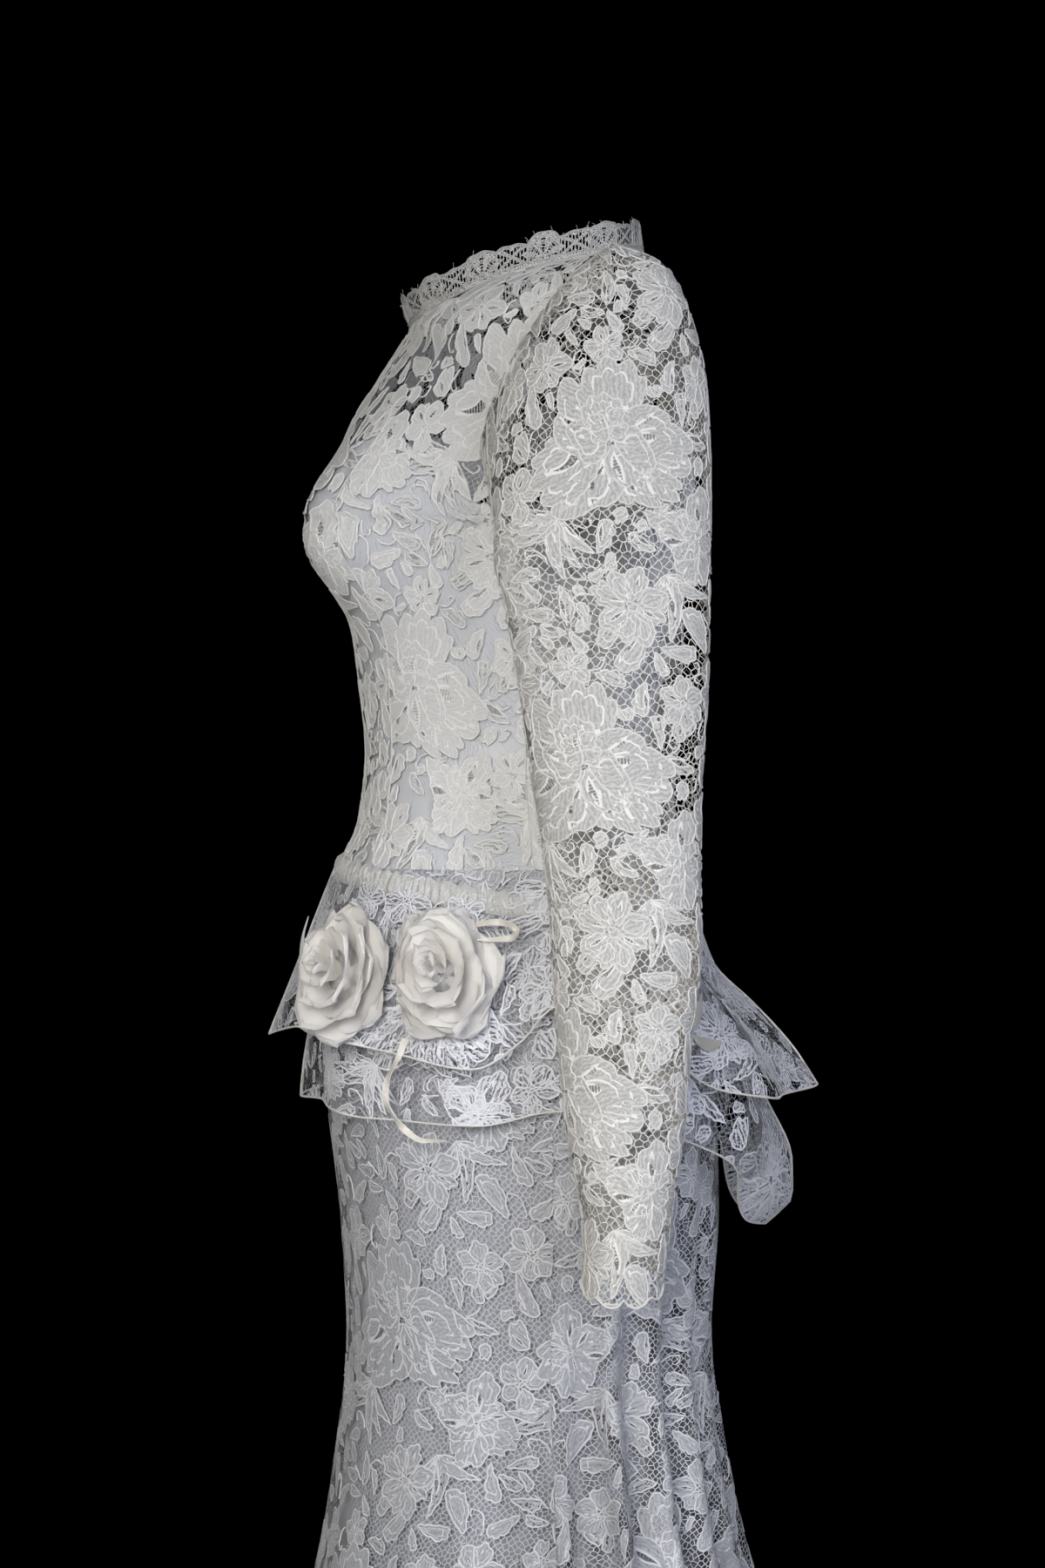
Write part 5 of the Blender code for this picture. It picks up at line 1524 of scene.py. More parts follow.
def stitch_tree() -> bpy.types.NodeTree:
    """Sets stitches along lines; its inputs are Pitch, Thickness and Material."""
    path = PathTree("stitch_row", Pitch="Float", Thickness="Float")
    pitch, thick = path.start["Pitch"], path.start["Thickness"]
    spots = path.made("CurveToPoints", {"Curve": path.curve, "Length": pitch}, mode="LENGTH")
    stitch = path.made("MeshIcoSphere", {"Radius": 1.0, "Subdivisions": 1})["Mesh"]
    half = path.add("ShaderNodeMath", {0: pitch, 1: STITCH_SHARE}, operation="MULTIPLY")
    size = path.add("ShaderNodeCombineXYZ", {0: thick, 1: thick, 2: half.outputs[0]})
    fields = {"Points": spots["Points"], "Rotation": spots["Rotation"], "Instance": stitch}
    return path.finish(path.made("InstanceOnPoints", {**fields, "Scale": size.outputs[0]})[0])


def grown(name: str, tree: bpy.types.NodeTree, lines: Sequence[Array], material: Material,
        **values: float) -> Object:
    """Runs a path tree on lines and keeps the result as a plain mesh.

    Args:
        name: the piece's name.
        tree: the Geometry Nodes to run.
        lines: the paths, each an array of points.
        material: the piece's material.
        values: the tree's other inputs, by name.

    Returns:
        The finished piece.
    """
    guide = bpy.data.meshes.new(name + "_guide")
    points = np.concatenate(lines)
    edges, total = [], 0
    for line in lines:
        edges += [(total + k, total + k + 1) for k in range(len(line) - 1)]
        total += len(line)
    guide.from_pydata(points.tolist(), edges, [])
    worker = put_in(name + "_guide", guide)
    modifier = worker.modifiers.new("path", "NODES")
    modifier.node_group = tree
    sockets = {
        item.name: item.identifier
        for item in tree.interface.items_tree
        if item.item_type == "SOCKET" and item.in_out == "INPUT"
    }
    modifier[sockets["Material"]] = material
    for key, value in values.items():
        modifier[sockets[key]] = value
    depsgraph = bpy.context.evaluated_depsgraph_get()
    mesh = bpy.data.meshes.new_from_object(worker.evaluated_get(depsgraph), depsgraph=depsgraph)
    mesh.name = name
    bpy.data.objects.remove(worker)
    bpy.data.meshes.remove(guide)
    mesh.shade_smooth()
    return put_in(name, mesh)


# ---------------------------------------------------------------- dressing the pieces
def triangles(piece: Object) -> int:
    """How many triangles a piece has."""
    return sum(len(face.vertices) - 2 for face in piece.data.polygons)


class Dress:
    """Keeps what all sub-assemblies share and puts each piece into the frame."""

    def __init__(self) -> None:
        """Makes the materials, the path trees and the two sizes of lace."""
        self.lace = {kind: [look.material() for look in looks] for kind, looks in LACES.items()}
        self.cord = self.lace["sleeve"][1]
        self.plain = {name: look.material() for name, look in PLAIN.items()}
        self.swept = swept_tree()
        self.stitched = stitch_tree()
        self.fine_lace = RepeatMaker(LaceChart(), CordWork()).repeat
        self.plain_lace = RepeatMaker(LaceChart(step=0.0044, smallest=False),
            CordWork(raised=False)).repeat
        self.total = 0

    def settle(self, piece: Object, slot: str, *nodes: str) -> Object:
        """Rides a piece on the dress, hides the solids that it stands for and logs its triangles."""
        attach(piece, "root")
        if nodes:
            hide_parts(*nodes)
        count = triangles(piece)
        self.total += count
        LOG.info("%s: %d triangles, %d so far", piece.name, count, self.total)
        return piece

    def declare(self, cloths: Sequence[Cloth]) -> None:
        """Works out the width, length and area of a sheet's flat cut, and keeps none of them."""
        sizes = [cloth.flat_size() for cloth in cloths]
        width = sum(size[0] for size in sizes)
        length = max(size[1] for size in sizes)
        area = min(sum(cloth.area() for cloth in cloths), width * length)

    def flowers(self, name: str, cloths: Sequence[Cloth], repeat: Repeat, origin: Spot,
            look: Sequence[Material], inner: Array | None = None) -> Object:
        """Lays the lace's flowers on cloth, repeat by repeat, and trims them at its edges.

        Args:
            name: the piece's name.
            cloths: the grids that they lie on.
            repeat: the charted repeat.
            origin: where one repeat's middle lies, in flat coordinates.
            look: materials of the cords, the dense fills and the sheer fills.
            inner: the way that a side without flowers faces, or None.

        Returns:
            The joined flowers.
        """
        chart = repeat.chart
        low, high = repeat.spots.min(0), repeat.spots.max(0)
        parts, total = [], 0
        for cloth in cloths:
            outside = cloth.pattern_hand()
            edge_low = np.array([cloth.u.min(), cloth.v.min()])
            edge_high = np.array([cloth.u.max(), cloth.v.max()])
            for j, i in product(range(-12, 13), range(-14, 15)):
                step = (i * chart.width - j * chart.shift, j * chart.height)
                shift = np.array(origin) + step
                if (high + shift < edge_low).any() or (low + shift > edge_high).any():
                    continue
                spots = repeat.spots + shift
                near = ((spots > edge_low - 0.01) & (spots < edge_high + 0.01)).all(1)
                near = near[repeat.faces].all(1)
                if not near.any():
                    continue
                used, kept = np.unique(repeat.faces[near], return_inverse=True)
                kept = kept.reshape(-1, 3)
                row, column, on = cloth.locate(spots[used, 0], spots[used, 1])
                part = on[kept].any(1)
                if inner is not None:
                    part &= cloth.sample(cloth.normals, row, column)[kept[:, 0]] @ inner < 0.55
                if not part.any():
                    continue
                again, kept = np.unique(kept[part], return_inverse=True)
                kept, used = kept.reshape(-1, 3), used[again]
                row, column = row[again], column[again]
                a, b, c = (repeat.spots[used][kept[:, k]].T for k in range(3))
                turn = (b[0] - a[0]) * (c[1] - a[1]) - (b[1] - a[1]) * (c[0] - a[0])
                wrong = turn * outside < 0
                kept[wrong] = kept[wrong][:, ::-1]
                points = cloth.at(row, column, repeat.lift[used] - NET_IN)
                # Painted shade: the flowers take the crease shade of the cloth under them.
                fold = cloth.sample(cloth.fold, row, column)
                own = repeat.slots[near][part], repeat.weave[used], repeat.work[used]
                parts.append((points, kept + total, *own, fold))
                total += len(used)
        points, faces, slots, weave, work, fold = join(parts)
        return build_mesh(name, points, faces, look, slots, weave, work=work, fold=fold)

    def lace_panel(self, node: str, cloths: Sequence[Cloth], repeat: Repeat, origin: Spot, kind: str,
            inner: Array | None = None) -> Object:
        """Net and flowers of one lace piece, in place of its solid."""
        ground, *look = self.lace[kind]
        net = sheet_mesh("net_" + node, cloths, NET_IN, ground)
        self.settle(net, "lace", node)
        flowers = self.flowers("flowers_" + node, cloths, repeat, origin, look, inner)
        self.settle(flowers, "lace")
        self.declare(cloths)
        return net

    def cords(self, name: str, lines: Sequence[Array], radius: float, slot: str = "lace",
            material: Material | None = None, sides: int = 6) -> Object:
        """Round cords sewn along lines."""
        piece = grown(name, self.swept, lines, material or self.cord, Radius=radius, Sides=sides)
        return self.settle(piece, slot)

    def stitches(self, name: str, lines: Sequence[Array], slot: str = "satin") -> Object:
        """A row of stitches along each line."""
        piece = grown(name, self.stitched, lines, self.cord, Pitch=0.0028, Thickness=0.00022)
        return self.settle(piece, slot)


# ---------------------------------------------------------------- the pieces of the dress
def band(low: float, high: float, step: float) -> Array:
    """Evenly spaced values from low to high, about step apart."""
    return np.linspace(low, high, max(int(round(abs(high - low) / step)), 1) + 1)


def grid(rows: Array, columns: Array) -> tuple[Array, Array]:
    """The row and column values at each point of a grid."""
    first, second = np.meshgrid(rows, columns, indexing="ij")
    return first, second


def both(left: Cloth) -> tuple[tuple[str, Cloth], ...]:
    """The left and the right of a piece, each with its side's name."""
    return ("left", left), ("right", left.mirrored())


@dataclass
class Bodice:
    """The lace bodice: centre front, side fronts and backs."""

    step: float = 0.006
    low: float = 1 - WAIST_SEAM / YOKE_BASE
    tall: float = 0.235  # metres in a step of 1 in v
    wide: float = 0.205  # and in a

    def panel(self, face: Face, first: float, last: float) -> Cloth:
        """A panel between two shares of the way to the side."""
        rows, columns = self.step / self.tall, self.step / self.wide
        v, a = grid(band(self.low, 1.0, rows), band(first, last, columns))
        points = FORM.body(face, v, a)
        zero = int(np.argmin(np.abs(v[:, 0])))
        start = np.abs(points[:, :1, 0]) if first == 0 else 0.12
        return Cloth(points, (zero, 0), start).flattened(pinned=first == 0)

    def build(self, dress: Dress) -> None:
        """Makes the five panels."""
        centre = self.panel(Face.FRONT, 0.0, PRINCESS)
        side = self.panel(Face.FRONT, PRINCESS, 1.0)
        back = self.panel(Face.BACK, 0.0, 1.0)
        panels = [("centre_front", [centre, centre.mirrored(carry_on=True)], (0.02, 0.1))]
        panels += [("side_front_" + name, [cloth], (0.165, -0.045)) for name, cloth in both(side)]
        panels += [("back_" + name, [cloth], (0.06, 0.02)) for name, cloth in both(back)]
        for node, cloths, origin in panels:
            dress.lace_panel("bodice_" + node, cloths, dress.fine_lace, origin, "bodice")
        seams = [centre.points[:, -1], back.points[:, 0], side.points[:, -1]]
        lines = [*seams, *(line * MIRROR for line in seams)]
        dress.cords("bodice_seams", lines, 0.00045, material=dress.lace["bodice"][2])


# Soft creases down the skirt: turn at the top (right below 0), drift, top, width, depth.
DRAPES = table(5,
    0.27, 0.02, -0.78, 0.012, -0.0016, 0.36, -0.01, -0.66, 0.009, -0.0022,
    0.445, 0.03, -0.58, 0.01, -0.0028, 0.49, 0.02, -0.62, 0.0075, -0.004,
    0.532, 0.025, -0.66, 0.0065, -0.005, 0.574, 0.02, -0.6, 0.008, -0.0046,
    0.655, 0.015, -0.64, 0.0085, -0.0055, 0.735, 0.01, -0.62, 0.008, -0.005,
    0.8, 0, -0.7, 0.0075, -0.004, 0.9, 0, -0.66, 0.0085, -0.0048, -0.3, -0.02, -0.7, 0.011, -0.0018,
    -0.41, 0.01, -0.64, 0.009, -0.0026, -0.47, -0.02, -0.6, 0.008, -0.0036)


def drape_press(points: Array, z: Array, t: Array) -> Array:
    """How far the creases press the skirt at heights and turns; below 0 inwards."""
    around = np.linalg.norm(np.gradient(points, axis=1), axis=2) / np.abs(np.gradient(t, axis=1))
    press = np.zeros_like(z)
    for turn, drift, top, width, depth in DRAPES:
        way = (top - z) / (top - HEM)
        sway = 0.004 * np.sin(9.0 * way + 40.0 * turn)
        across = (t - turn - drift * np.clip(way, 0, 1) - sway) * around / width
        waver = 0.8 + 0.2 * np.sin(7.0 * way + 23.0 * turn)
        press += depth * ease(way / 0.35) * waver * np.exp(-across * across)
    return press


@dataclass
class Underdress:
    """The strapless satin bodice and the slip skirt under the lace."""

    step: float = 0.01
    wide: float = 0.2  # metres in a step of 1 in a
    slip_rows: float = 0.016
    slip_columns: float = 0.012  # as a turn
    crease: float = 0.0045  # depth of a crease that takes the full share of painted shade
    # Painted shade: the share by which the deepest creases darken the slip's colour.
    crease_shade: float = 0.85

    def front(self) -> Cloth:
        """The satin front with its sweetheart top."""
        share, a = grid(band(0, 1, 0.03), band(-1, 1, self.step / self.wide))
        top = FORM.sweetheart(np.abs(a))[..., 0]
        low = 1 - WAIST_SEAM / YOKE_BASE
        return Cloth(FORM.body(Face.FRONT, low + (top - low) * share, a))

    def back(self) -> Cloth:
        """One satin back, level at its top."""
        low = 1 - WAIST_SEAM / YOKE_BASE
        v, a = grid(np.linspace(low, UNDERDRESS_BACK_TOP, 34), band(0, 1, self.step / self.wide))
        return Cloth(FORM.body(Face.BACK, v, a))

    def slip(self, first: float, last: float) -> Cloth:
        """A panel of the slip skirt."""
        rows = band(UNDERDRESS_HEM, WAIST_SEAM, self.slip_rows)
        z, t = grid(rows, band(first, last, self.slip_columns))
        cloth = Cloth(FORM.ring(FORM.under, z, t))
        # Painted shade: the slip has no creases of its own, but darkens where the skirt's creases lie over
        # it.
        cloth.fold = np.clip(-drape_press(cloth.points, z, t) / self.crease, 0, 1) * self.crease_shade
        return cloth

    def build(self, dress: Dress) -> None:
        """Makes the six satin pieces."""
        pieces = [("underdress_front", self.front(), LINING_IN)]
        for side, cloth in both(self.back()):
            pieces.append(("underdress_back_" + side, cloth, LINING_IN))
        pieces.append(("slip_front", self.slip(-0.5, 0.5), 0.0))
        for side, cloth in both(self.slip(1.0, 0.5)):
            pieces.append(("slip_back_" + side, cloth, 0.0))
        for node, cloth, depth in pieces:
            finish = dress.plain["slip" if node.startswith("slip") else "satin"]
            piece = shell_mesh("satin_" + node, cloth, depth, SATIN_THICK, finish)
            dress.settle(piece, "satin", node)
            if node == "underdress_front":
                row = cloth.points[-2] - cloth.normals[-2] * (depth - 0.0003)
                dress.stitches("sweetheart_stitches", [row])
            dress.declare([cloth])


@dataclass
class Skirt:
    """The lace skirt: a front and two backs with folds."""

    rows: float = 0.009
    columns: float = 0.0085  # as a turn
    crease: float = 0.0052
    # Painted shade: the share by which the deepest creases darken the lace's colour.
    crease_shade: float = 0.62

    def panel(self, first: float, last: float) -> Cloth:
        """A panel between two turns."""
        z, t = grid(band(HEM, WAIST_SEAM, self.rows), band(first, last, self.columns))
        points = FORM.skirt(z, t)
        cloth = Cloth(points, (len(z) - 1, int(np.argmin(np.abs(t[0])))))
        press = drape_press(points, z, t)
        # Painted shade in the troughs of the creases, on top of the creases pressed into the cloth.
        cloth.fold = np.clip(-press / self.crease, 0, 1) * self.crease_shade
        return cloth.pushed(press)

    def build(self, dress: Dress) -> None:
        """Makes the three panels and the hem."""
        panels = [("front", self.panel(-0.5, 0.5), (0.16, -0.09))]
        panels += [("back_" + side, cloth, (0.1, -0.05)) for side, cloth in both(self.panel(1.0, 0.5))]
        for name, cloth, origin in panels:
            dress.lace_panel("skirt_" + name, [cloth], dress.plain_lace, origin, "skirt")
        dress.cords("skirt_hem", [cloth.points[0] for _, cloth, _ in panels], 0.0011)


# Creases, troughs below 0: u and v of both ends in flat pattern metres, width, depth.
SLEEVE_CREASES = table(6,
    -0.062, -0.168, 0.012, -0.204, 0.0075, -0.0017, 0.004, -0.15, 0.066, -0.186, 0.0065, -0.0013,
    -0.05, -0.226, 0.034, -0.242, 0.0085, -0.0016, -0.03, -0.206, 0.05, -0.219, 0.007, 0.001,
    0.01, -0.275, 0.06, -0.256, 0.006, -0.0012, -0.05, -0.33, 0.01, -0.345, 0.0065, -0.0011,
    -0.02, -0.405, 0.036, -0.392, 0.0055, -0.001, -0.15, -0.18, -0.09, -0.215, 0.0075, -0.0014,
    0.09, -0.23, 0.145, -0.205, 0.0075, -0.0014)


@dataclass
class Sleeves:
    """Two lace sleeves with gathered heads and scalloped cuffs."""

    step: float = 0.006
    wrist: float = -0.61  # above this height the scallops of the cuff have died away

    def sleeve(self) -> Cloth:
        """The left sleeve, from cuff to armhole."""
        angle = np.linspace(math.pi, -math.pi, 61)
        lobe = np.abs(np.sin(CUFF_LOBES * angle / 2)) ** 0.6
        cuff = CUFF - CUFF_DROP * np.cos(angle) + CUFF_SCALLOP * (1 - 2 * lobe)
        share, turn = grid(band(0, 1, 0.1)[:-1], angle)
        low = FORM.sleeve_tube(cuff[None, :] * (1 - share) + self.wrist * share, turn)
        z, turn = grid(band(self.wrist, SLEEVE_TOP, self.step)[:-1], angle)
        tube = FORM.sleeve_tube(z, turn)
        head, turn = grid(np.linspace(1, 0, 34), angle)
        cap = FORM.sleeve_head(turn, head) + np.array([0.0005, 0.0, 0.0])
        points = np.concatenate([low, tube, cap])
        cloth = Cloth(points, (len(low) + len(tube), 30), round_it=True)
        return cloth.creased(SLEEVE_CREASES)

    def build(self, dress: Dress) -> None:
        """Makes both sleeves and their cuffs."""
        for side, cloth in both(self.sleeve()):
            node = "sleeve_" + side
            inner = np.array([-1.0 if side == "left" else 1.0, 0.0, 0.0])
            dress.lace_panel(node, [cloth], dress.fine_lace, (0.003, 0.078), "sleeve", inner=inner)
            dress.cords("cuff_edge_" + side, [cloth.points[0]], 0.0008)
            dress.cords("armhole_seam_" + side, [cloth.points[-1]], 0.001)


@dataclass
class Peplum:
    """Two lace flounces with rolled satin edges, and their gathered heading."""

    edge: float = 0.0007
    heading_high: float = 0.0165

    def tier(self, upper: bool) -> Cloth:
        """The left half of a tier."""
        s, t = grid(np.linspace(1, 0, 30), np.linspace(TIER_PARTING / 2, 1 - TIER_PARTING / 2, 111))
        return Cloth(FORM.tier(upper, t, s), (29, 0)).flattened()

    def heading(self) -> Cloth:
        """The gathered heading round the left half, which drops from the front to the side."""
        t, share = grid(np.linspace(0.0, 1.0, 520), np.linspace(-1, 1, 8))
        top = WAIST_SEAM + 0.008 - 0.024 * np.clip(t / 0.5, 0, 1) ** 1.5
        ragged = 0.0011 * np.sin(TAU * 41 * t + 2 * np.sin(TAU * 7 * t)) * (0.4 + 0.6 * share)
        z = top - self.heading_high / 2 * (1 - share) + ragged
        full = 1 - share**4
        sway = 3.4 * np.sin(TAU * 9 * t) + 1.6 * np.sin(2.2 * share + TAU * 5 * t)
        gather = np.sin(TAU * 62 * t + sway)
        gather += 0.7 * np.sin(TAU * 97 * t - 2.5 * share + 2 * np.sin(TAU * 13 * t))
        out = 0.0012 + 0.0024 * full**0.6 + 0.0006 * gather * full**0.5
        return Cloth(FORM.skirt(z, t) + FORM.outward(FORM.lace, z, t) * out[..., None])

    def build(self, dress: Dress) -> None:
        """Makes the four flounces, their edges and the heading."""
        for side, cloth in both(self.heading()):
            piece = shell_mesh("heading_" + side, cloth, 0.0, 0.0006, dress.plain["gathers"])
            dress.settle(piece, "lace")
        for level, upper in (("upper", True), ("lower", False)):
            for side, cloth in both(self.tier(upper)):
                node = f"peplum_{level}_{side}"
                p = cloth.points - cloth.normals * NET_IN
                line = np.concatenate([p[::-1, 0], p[0, 1:-1], p[:, -1]])
                edge = dress.cords("edge_" + node, [line], self.edge, "satin", dress.plain["edge"], 8)
                dress.lace_panel(node, [cloth], dress.plain_lace, (0.05, -0.06), "peplum")


@dataclass
class NeckEdging:
    """The narrow scalloped lace that stands on the neckline."""

    height: float = 0.017
    scallop: float = 0.0042
    count: int = 27
    seed: int = 12

    def line(self) -> tuple[Array, Array, Array]:
        """Base points of the edging, with their directions up and out."""
        back = FORM.neck[Face.BACK](np.linspace(BACK_NECK_V, 1, 40))
        front = FORM.neck[Face.FRONT](np.linspace(1, FRONT_NECK_V, 60))
        left = np.concatenate([back, front[1:]])
        line = np.concatenate([left, left[-2::-1] * MIRROR])
        run = run_along(line)
        at = np.linspace(0, run[-1], self.count * 12 + 1)
        base = read(at, run, line)
        out = unit(base * np.array([1.0, 1.0, 0.0]) + np.array([0.0, 0.02, 0.0]))
        lean = 0.1 - 0.25 * out[:, 1]
        rise = unit(stack(out[:, 0] * 0.12, out[:, 1] * lean, 1 + 0 * lean))
        return base, rise, out

    def place(self, at: Array, height: Array) -> Array:
        """Points of the band at a share of scallops along it and a height on it."""
        base, rise, _ = self.line()
        k = np.clip(np.asarray(at, float) * 12, 0, len(base) - 1)
        whole = np.arange(len(base))
        return read(k, whole, base) + read(k, whole, rise) * np.asarray(height, float)[..., None]

    def crest(self, at: Array) -> Array:
        """Height of the uneven top: a lobe over each fan, a dip over each trellis."""
        at = np.asarray(at, float)
        lobe = np.abs(np.sin(math.pi * at)) ** 0.6
        fan = (np.floor(at - 1e-9) % 2 == 0).astype(float)
        waver = 0.0007 * np.sin(5.1 * at) + 0.0005 * np.sin(11.3 * at + 1.0)
        return self.height + self.scallop * lobe * (0.25 + 0.75 * fan) + waver

    def build(self, dress: Dress) -> None:
        """Makes the band with its cords, and the threads that have come loose."""
        at, share = np.meshgrid(np.linspace(0, self.count, self.count * 8 + 1), np.linspace(0, 1, 6))
        points = self.place(at, share * self.crest(at))
        cloth, pattern = Cloth(points), Cloth(points)
        pattern.u, pattern.v = at, share
        net = sheet_mesh("net_neck_edging", [pattern], NET_IN, dress.plain["edging"])
        dress.settle(net, "edging", "neck_edging")
        along = np.linspace(0, self.count, self.count * 12 + 1)
        heavy = [self.place(along, self.crest(along)), self.place(along, 0 * along + 0.0008)]
        fine = [self.place(along, 0.004 + 0.0006 * np.sin(3.7 * along))]
        for k in range(self.count):
            turn = np.linspace(0, math.pi, 13)
            x = k + 0.5 - 0.5 * np.cos(turn)
            if k % 2 == 0:
                for size in (0.92, 0.66):
                    span = k + 0.5 - 0.5 * size * np.cos(turn)
                    top = 0.0045 + (self.crest(span) - 0.0055) * np.sin(turn) ** 0.8 * size
                    fine.append(self.place(span, top))
            else:
                for way in (1, -1):
                    cross = k + 0.5 + way * np.linspace(-0.48, 0.48, 7)
                    fine.append(self.place(cross, np.linspace(0.0045, self.height - 0.001, 7)))
            heavy.append(self.place(x[:2] * 0 + k, np.array([0.004, self.height * 0.92])))
        random = np.random.default_rng(self.seed)
        loose = []
        for start in random.uniform(0, self.count, 46):
            reach, lean = random.uniform(0.0015, 0.0042), random.uniform(-0.12, 0.12)
            s = np.linspace(0, 1, 5)
            height = self.crest(start + 0 * s) + reach * s
            loose.append(self.place(np.clip(start + lean * s * s, 0, self.count), height))
        cotton = dress.plain["edging_cord"]
        cords = dress.cords("edging_cords", heavy, 0.00046, "edging", cotton, 5)
        fans = dress.cords("edging_inner_cords", fine, 0.0003, "edging", cotton, 4)
        threads = dress.cords("edging_loose_threads", loose, 0.00016, "edging", cotton, 3)
        dress.declare([cloth])


@dataclass(frozen=True)
class RoseSize:
    """Place and size of a rose on the upper tier."""

    node: str
    t: float
    s: float
    radius: float
    tall: float
    thick: float
    turn: float


@dataclass(frozen=True)
class Round:
    """One round of petals, from the heart outwards."""

    petals: int
    root: float  # share of the rose's radius where it starts
    length: float
    stand: float  # slope at its root, 0 upright and pi/2 flat
    fold: float  # slope at its tip
    spread: float  # half its width, as an angle
    lift: float


ROSES = (
    RoseSize("rose_front", 0.231, 0.64, 0.0425, 1.2, 0.038, 0.4),
    RoseSize("rose_side", 0.384, 0.545, 0.0428, 1.16, 0.037, 2.1),
)
ROUNDS = (
    Round(5, 0.02, 0.62, 1.3, 1.5, 1.2, 0.06),
    Round(2, 0.02, 0.34, -0.15, 0.15, 2.2, 0.6),
    Round(3, 0.06, 0.44, 0.0, 0.45, 1.7, 0.46),
    Round(3, 0.13, 0.54, 0.15, 0.75, 1.55, 0.32),
    Round(4, 0.22, 0.6, 0.38, 1.05, 1.3, 0.2),
    Round(5, 0.32, 0.62, 0.72, 1.35, 1.1, 0.11),
    Round(6, 0.42, 0.6, 1.15, 1.62, 0.95, 0.04),
)


@dataclass
class Trims:
    """Roses, leaf, ribbons and buttons."""

    seed: int = 4
    ribbon_width: float = 0.0043
    leaf_width: float = 0.015
    back_petal_width: float = 0.0085
    strip_thick: float = 0.0006
    back_petal_thick: float = 0.0005
    button_radius: float = 0.0045
    button_half: float = 0.0022
    button_sides: int = 20
    buttons: int = 10
    top: float = 0.825  # v of the first button and of the last
    low: float = 0.09

    def on_tier(self, t: float, s: float, aside: Array, up: Array) -> Array:
        """Points of the upper tier at distances along and up the cloth."""
        step = 0.01
        here = FORM.tier(True, t, s)
        wide = np.linalg.norm(FORM.tier(True, t + step, s) - here) / step
        tall = np.linalg.norm(FORM.tier(True, t, s + step) - here) / step
        return FORM.tier(True, t + aside / wide, s - up / tall)

    def petals(self, size: RoseSize) -> list[Array]:
        """Grids of the petals of a rose."""
        random = np.random.default_rng(self.seed + int(size.turn * 10))
        shift = 0.01 * np.array([[1.0, 0.0], [-1.0, 0.0], [0.0, 1.0], [0.0, -1.0]])
        ends = self.on_tier(size.t, size.s, shift[:, 0], shift[:, 1])
        facing = unit(np.cross(ends[0] - ends[1], ends[2] - ends[3]))
        petals = []
        q, p = np.meshgrid(np.linspace(0, 1, 15), np.linspace(-1, 1, 19), indexing="ij")
        for layer in ROUNDS:
            for k in range(layer.petals):
                jitter = random.uniform(-1, 1, 6)
                angle = size.turn + TAU * (k + 0.25 * jitter[0]) / layer.petals + 1.9 * layer.lift
                long = layer.length * (1 + 0.12 * jitter[1])
                slope = layer.stand + (layer.fold - layer.stand) * q**1.3
                reach = np.cumsum(np.sin(slope), axis=0) / 15 * long + layer.root
                climb = np.cumsum(np.cos(slope), axis=0) / 15 * long + layer.lift
                narrow = np.sqrt(np.maximum(1 - q**4, 0.0)) * (0.55 + 0.45 * np.sin(math.pi * q * 0.75))
                turn = angle + p * layer.spread * narrow
                ruffle = 0.04 * q**2 * np.sin(3 * p + 6 * jitter[2])
                ruffle += 0.022 * q**1.5 * np.sin(9 * p + 6 * jitter[3])
                reach = reach * (1 - 0.1 * p * p * q) + ruffle
                high = climb + 0.05 * p * p * q + ruffle
                aside = size.radius * reach * np.cos(turn)
                up = size.tall * size.radius * reach * np.sin(turn)
                base = self.on_tier(size.t, size.s, aside, up)
                petals.append(base + facing * (0.001 + size.thick * np.maximum(high, 0.02))[..., None])
        return petals

    def rose(self, dress: Dress, size: RoseSize) -> None:
        """Makes one rose of thin closed petals."""
        parts, total, area = [], 0, 0.0
        for petal in self.petals(size):
            cloth = Cloth(petal)
            parts.append((petal.reshape(-1, 3), cloth.faces() + total, cloth.flat()))
            total, area = total + cloth.u.size, area + cloth.area()
        points, faces, uv = join(parts)
        piece = build_mesh("petals_" + size.node, points, faces, [dress.plain["organza"]], uv=uv)
        dress.settle(piece, "organza", size.node)

    def strip(self, stops: Sequence[tuple[float, float, float]], width: float, pointed: bool) -> Cloth:
        """A flat strip or leaf that follows its stops, its flat side to the body."""
        path = Curve([(k, *stop) for k, stop in enumerate(stops)])
        last = len(stops) - 1
        k = np.linspace(0, last, last * 9 + 1)

        def place(at: Array) -> tuple[Array, Array]:
            """Points of the path and what they face."""
            t, z, out = np.moveaxis(path(np.clip(at, 0, last)), -1, 0)
            facing = FORM.outward(FORM.lace, z, t)
            return FORM.ring(FORM.lace, z, t) + facing * out[:, None], facing

        centre, facing = place(k)
        across = unit(np.cross(place(k + 0.05)[0] - place(k - 0.05)[0], facing))
        share = 0.03 + 0.94 * k / last
        half = width / 2 * (np.sin(math.pi * share) ** 0.8 if pointed else 1 + 0 * share)
        if not pointed:
            half = half * np.clip(4 * (1 - k / last) + 0.12, 0, 1) ** 0.7
            across = unit(across + facing * (0.75 * np.sin(2.1 * k + 0.6))[:, None])
        side = np.linspace(-1, 1, 7)
        bow = 0.0024 * (1 - side**2) * half[:, None] / width if pointed else 0 * half[:, None] * side
        points = centre[:, None] + across[:, None] * (half[:, None] * side)[..., None]
        return Cloth(points + facing[:, None] * bow[..., None])

    def back_petals(self, dress: Dress) -> None:
        """Makes the two folded petals on the back of the upper tier."""
        for number, stops in enumerate(BACK_PETALS):
            cloth = self.strip(stops, self.back_petal_width, True)
            name = f"folded_petal_{number + 1}"
            finish = dress.plain["petal"]
            dress.settle(shell_mesh(name, cloth, 0.0, self.back_petal_thick, finish), "organza")

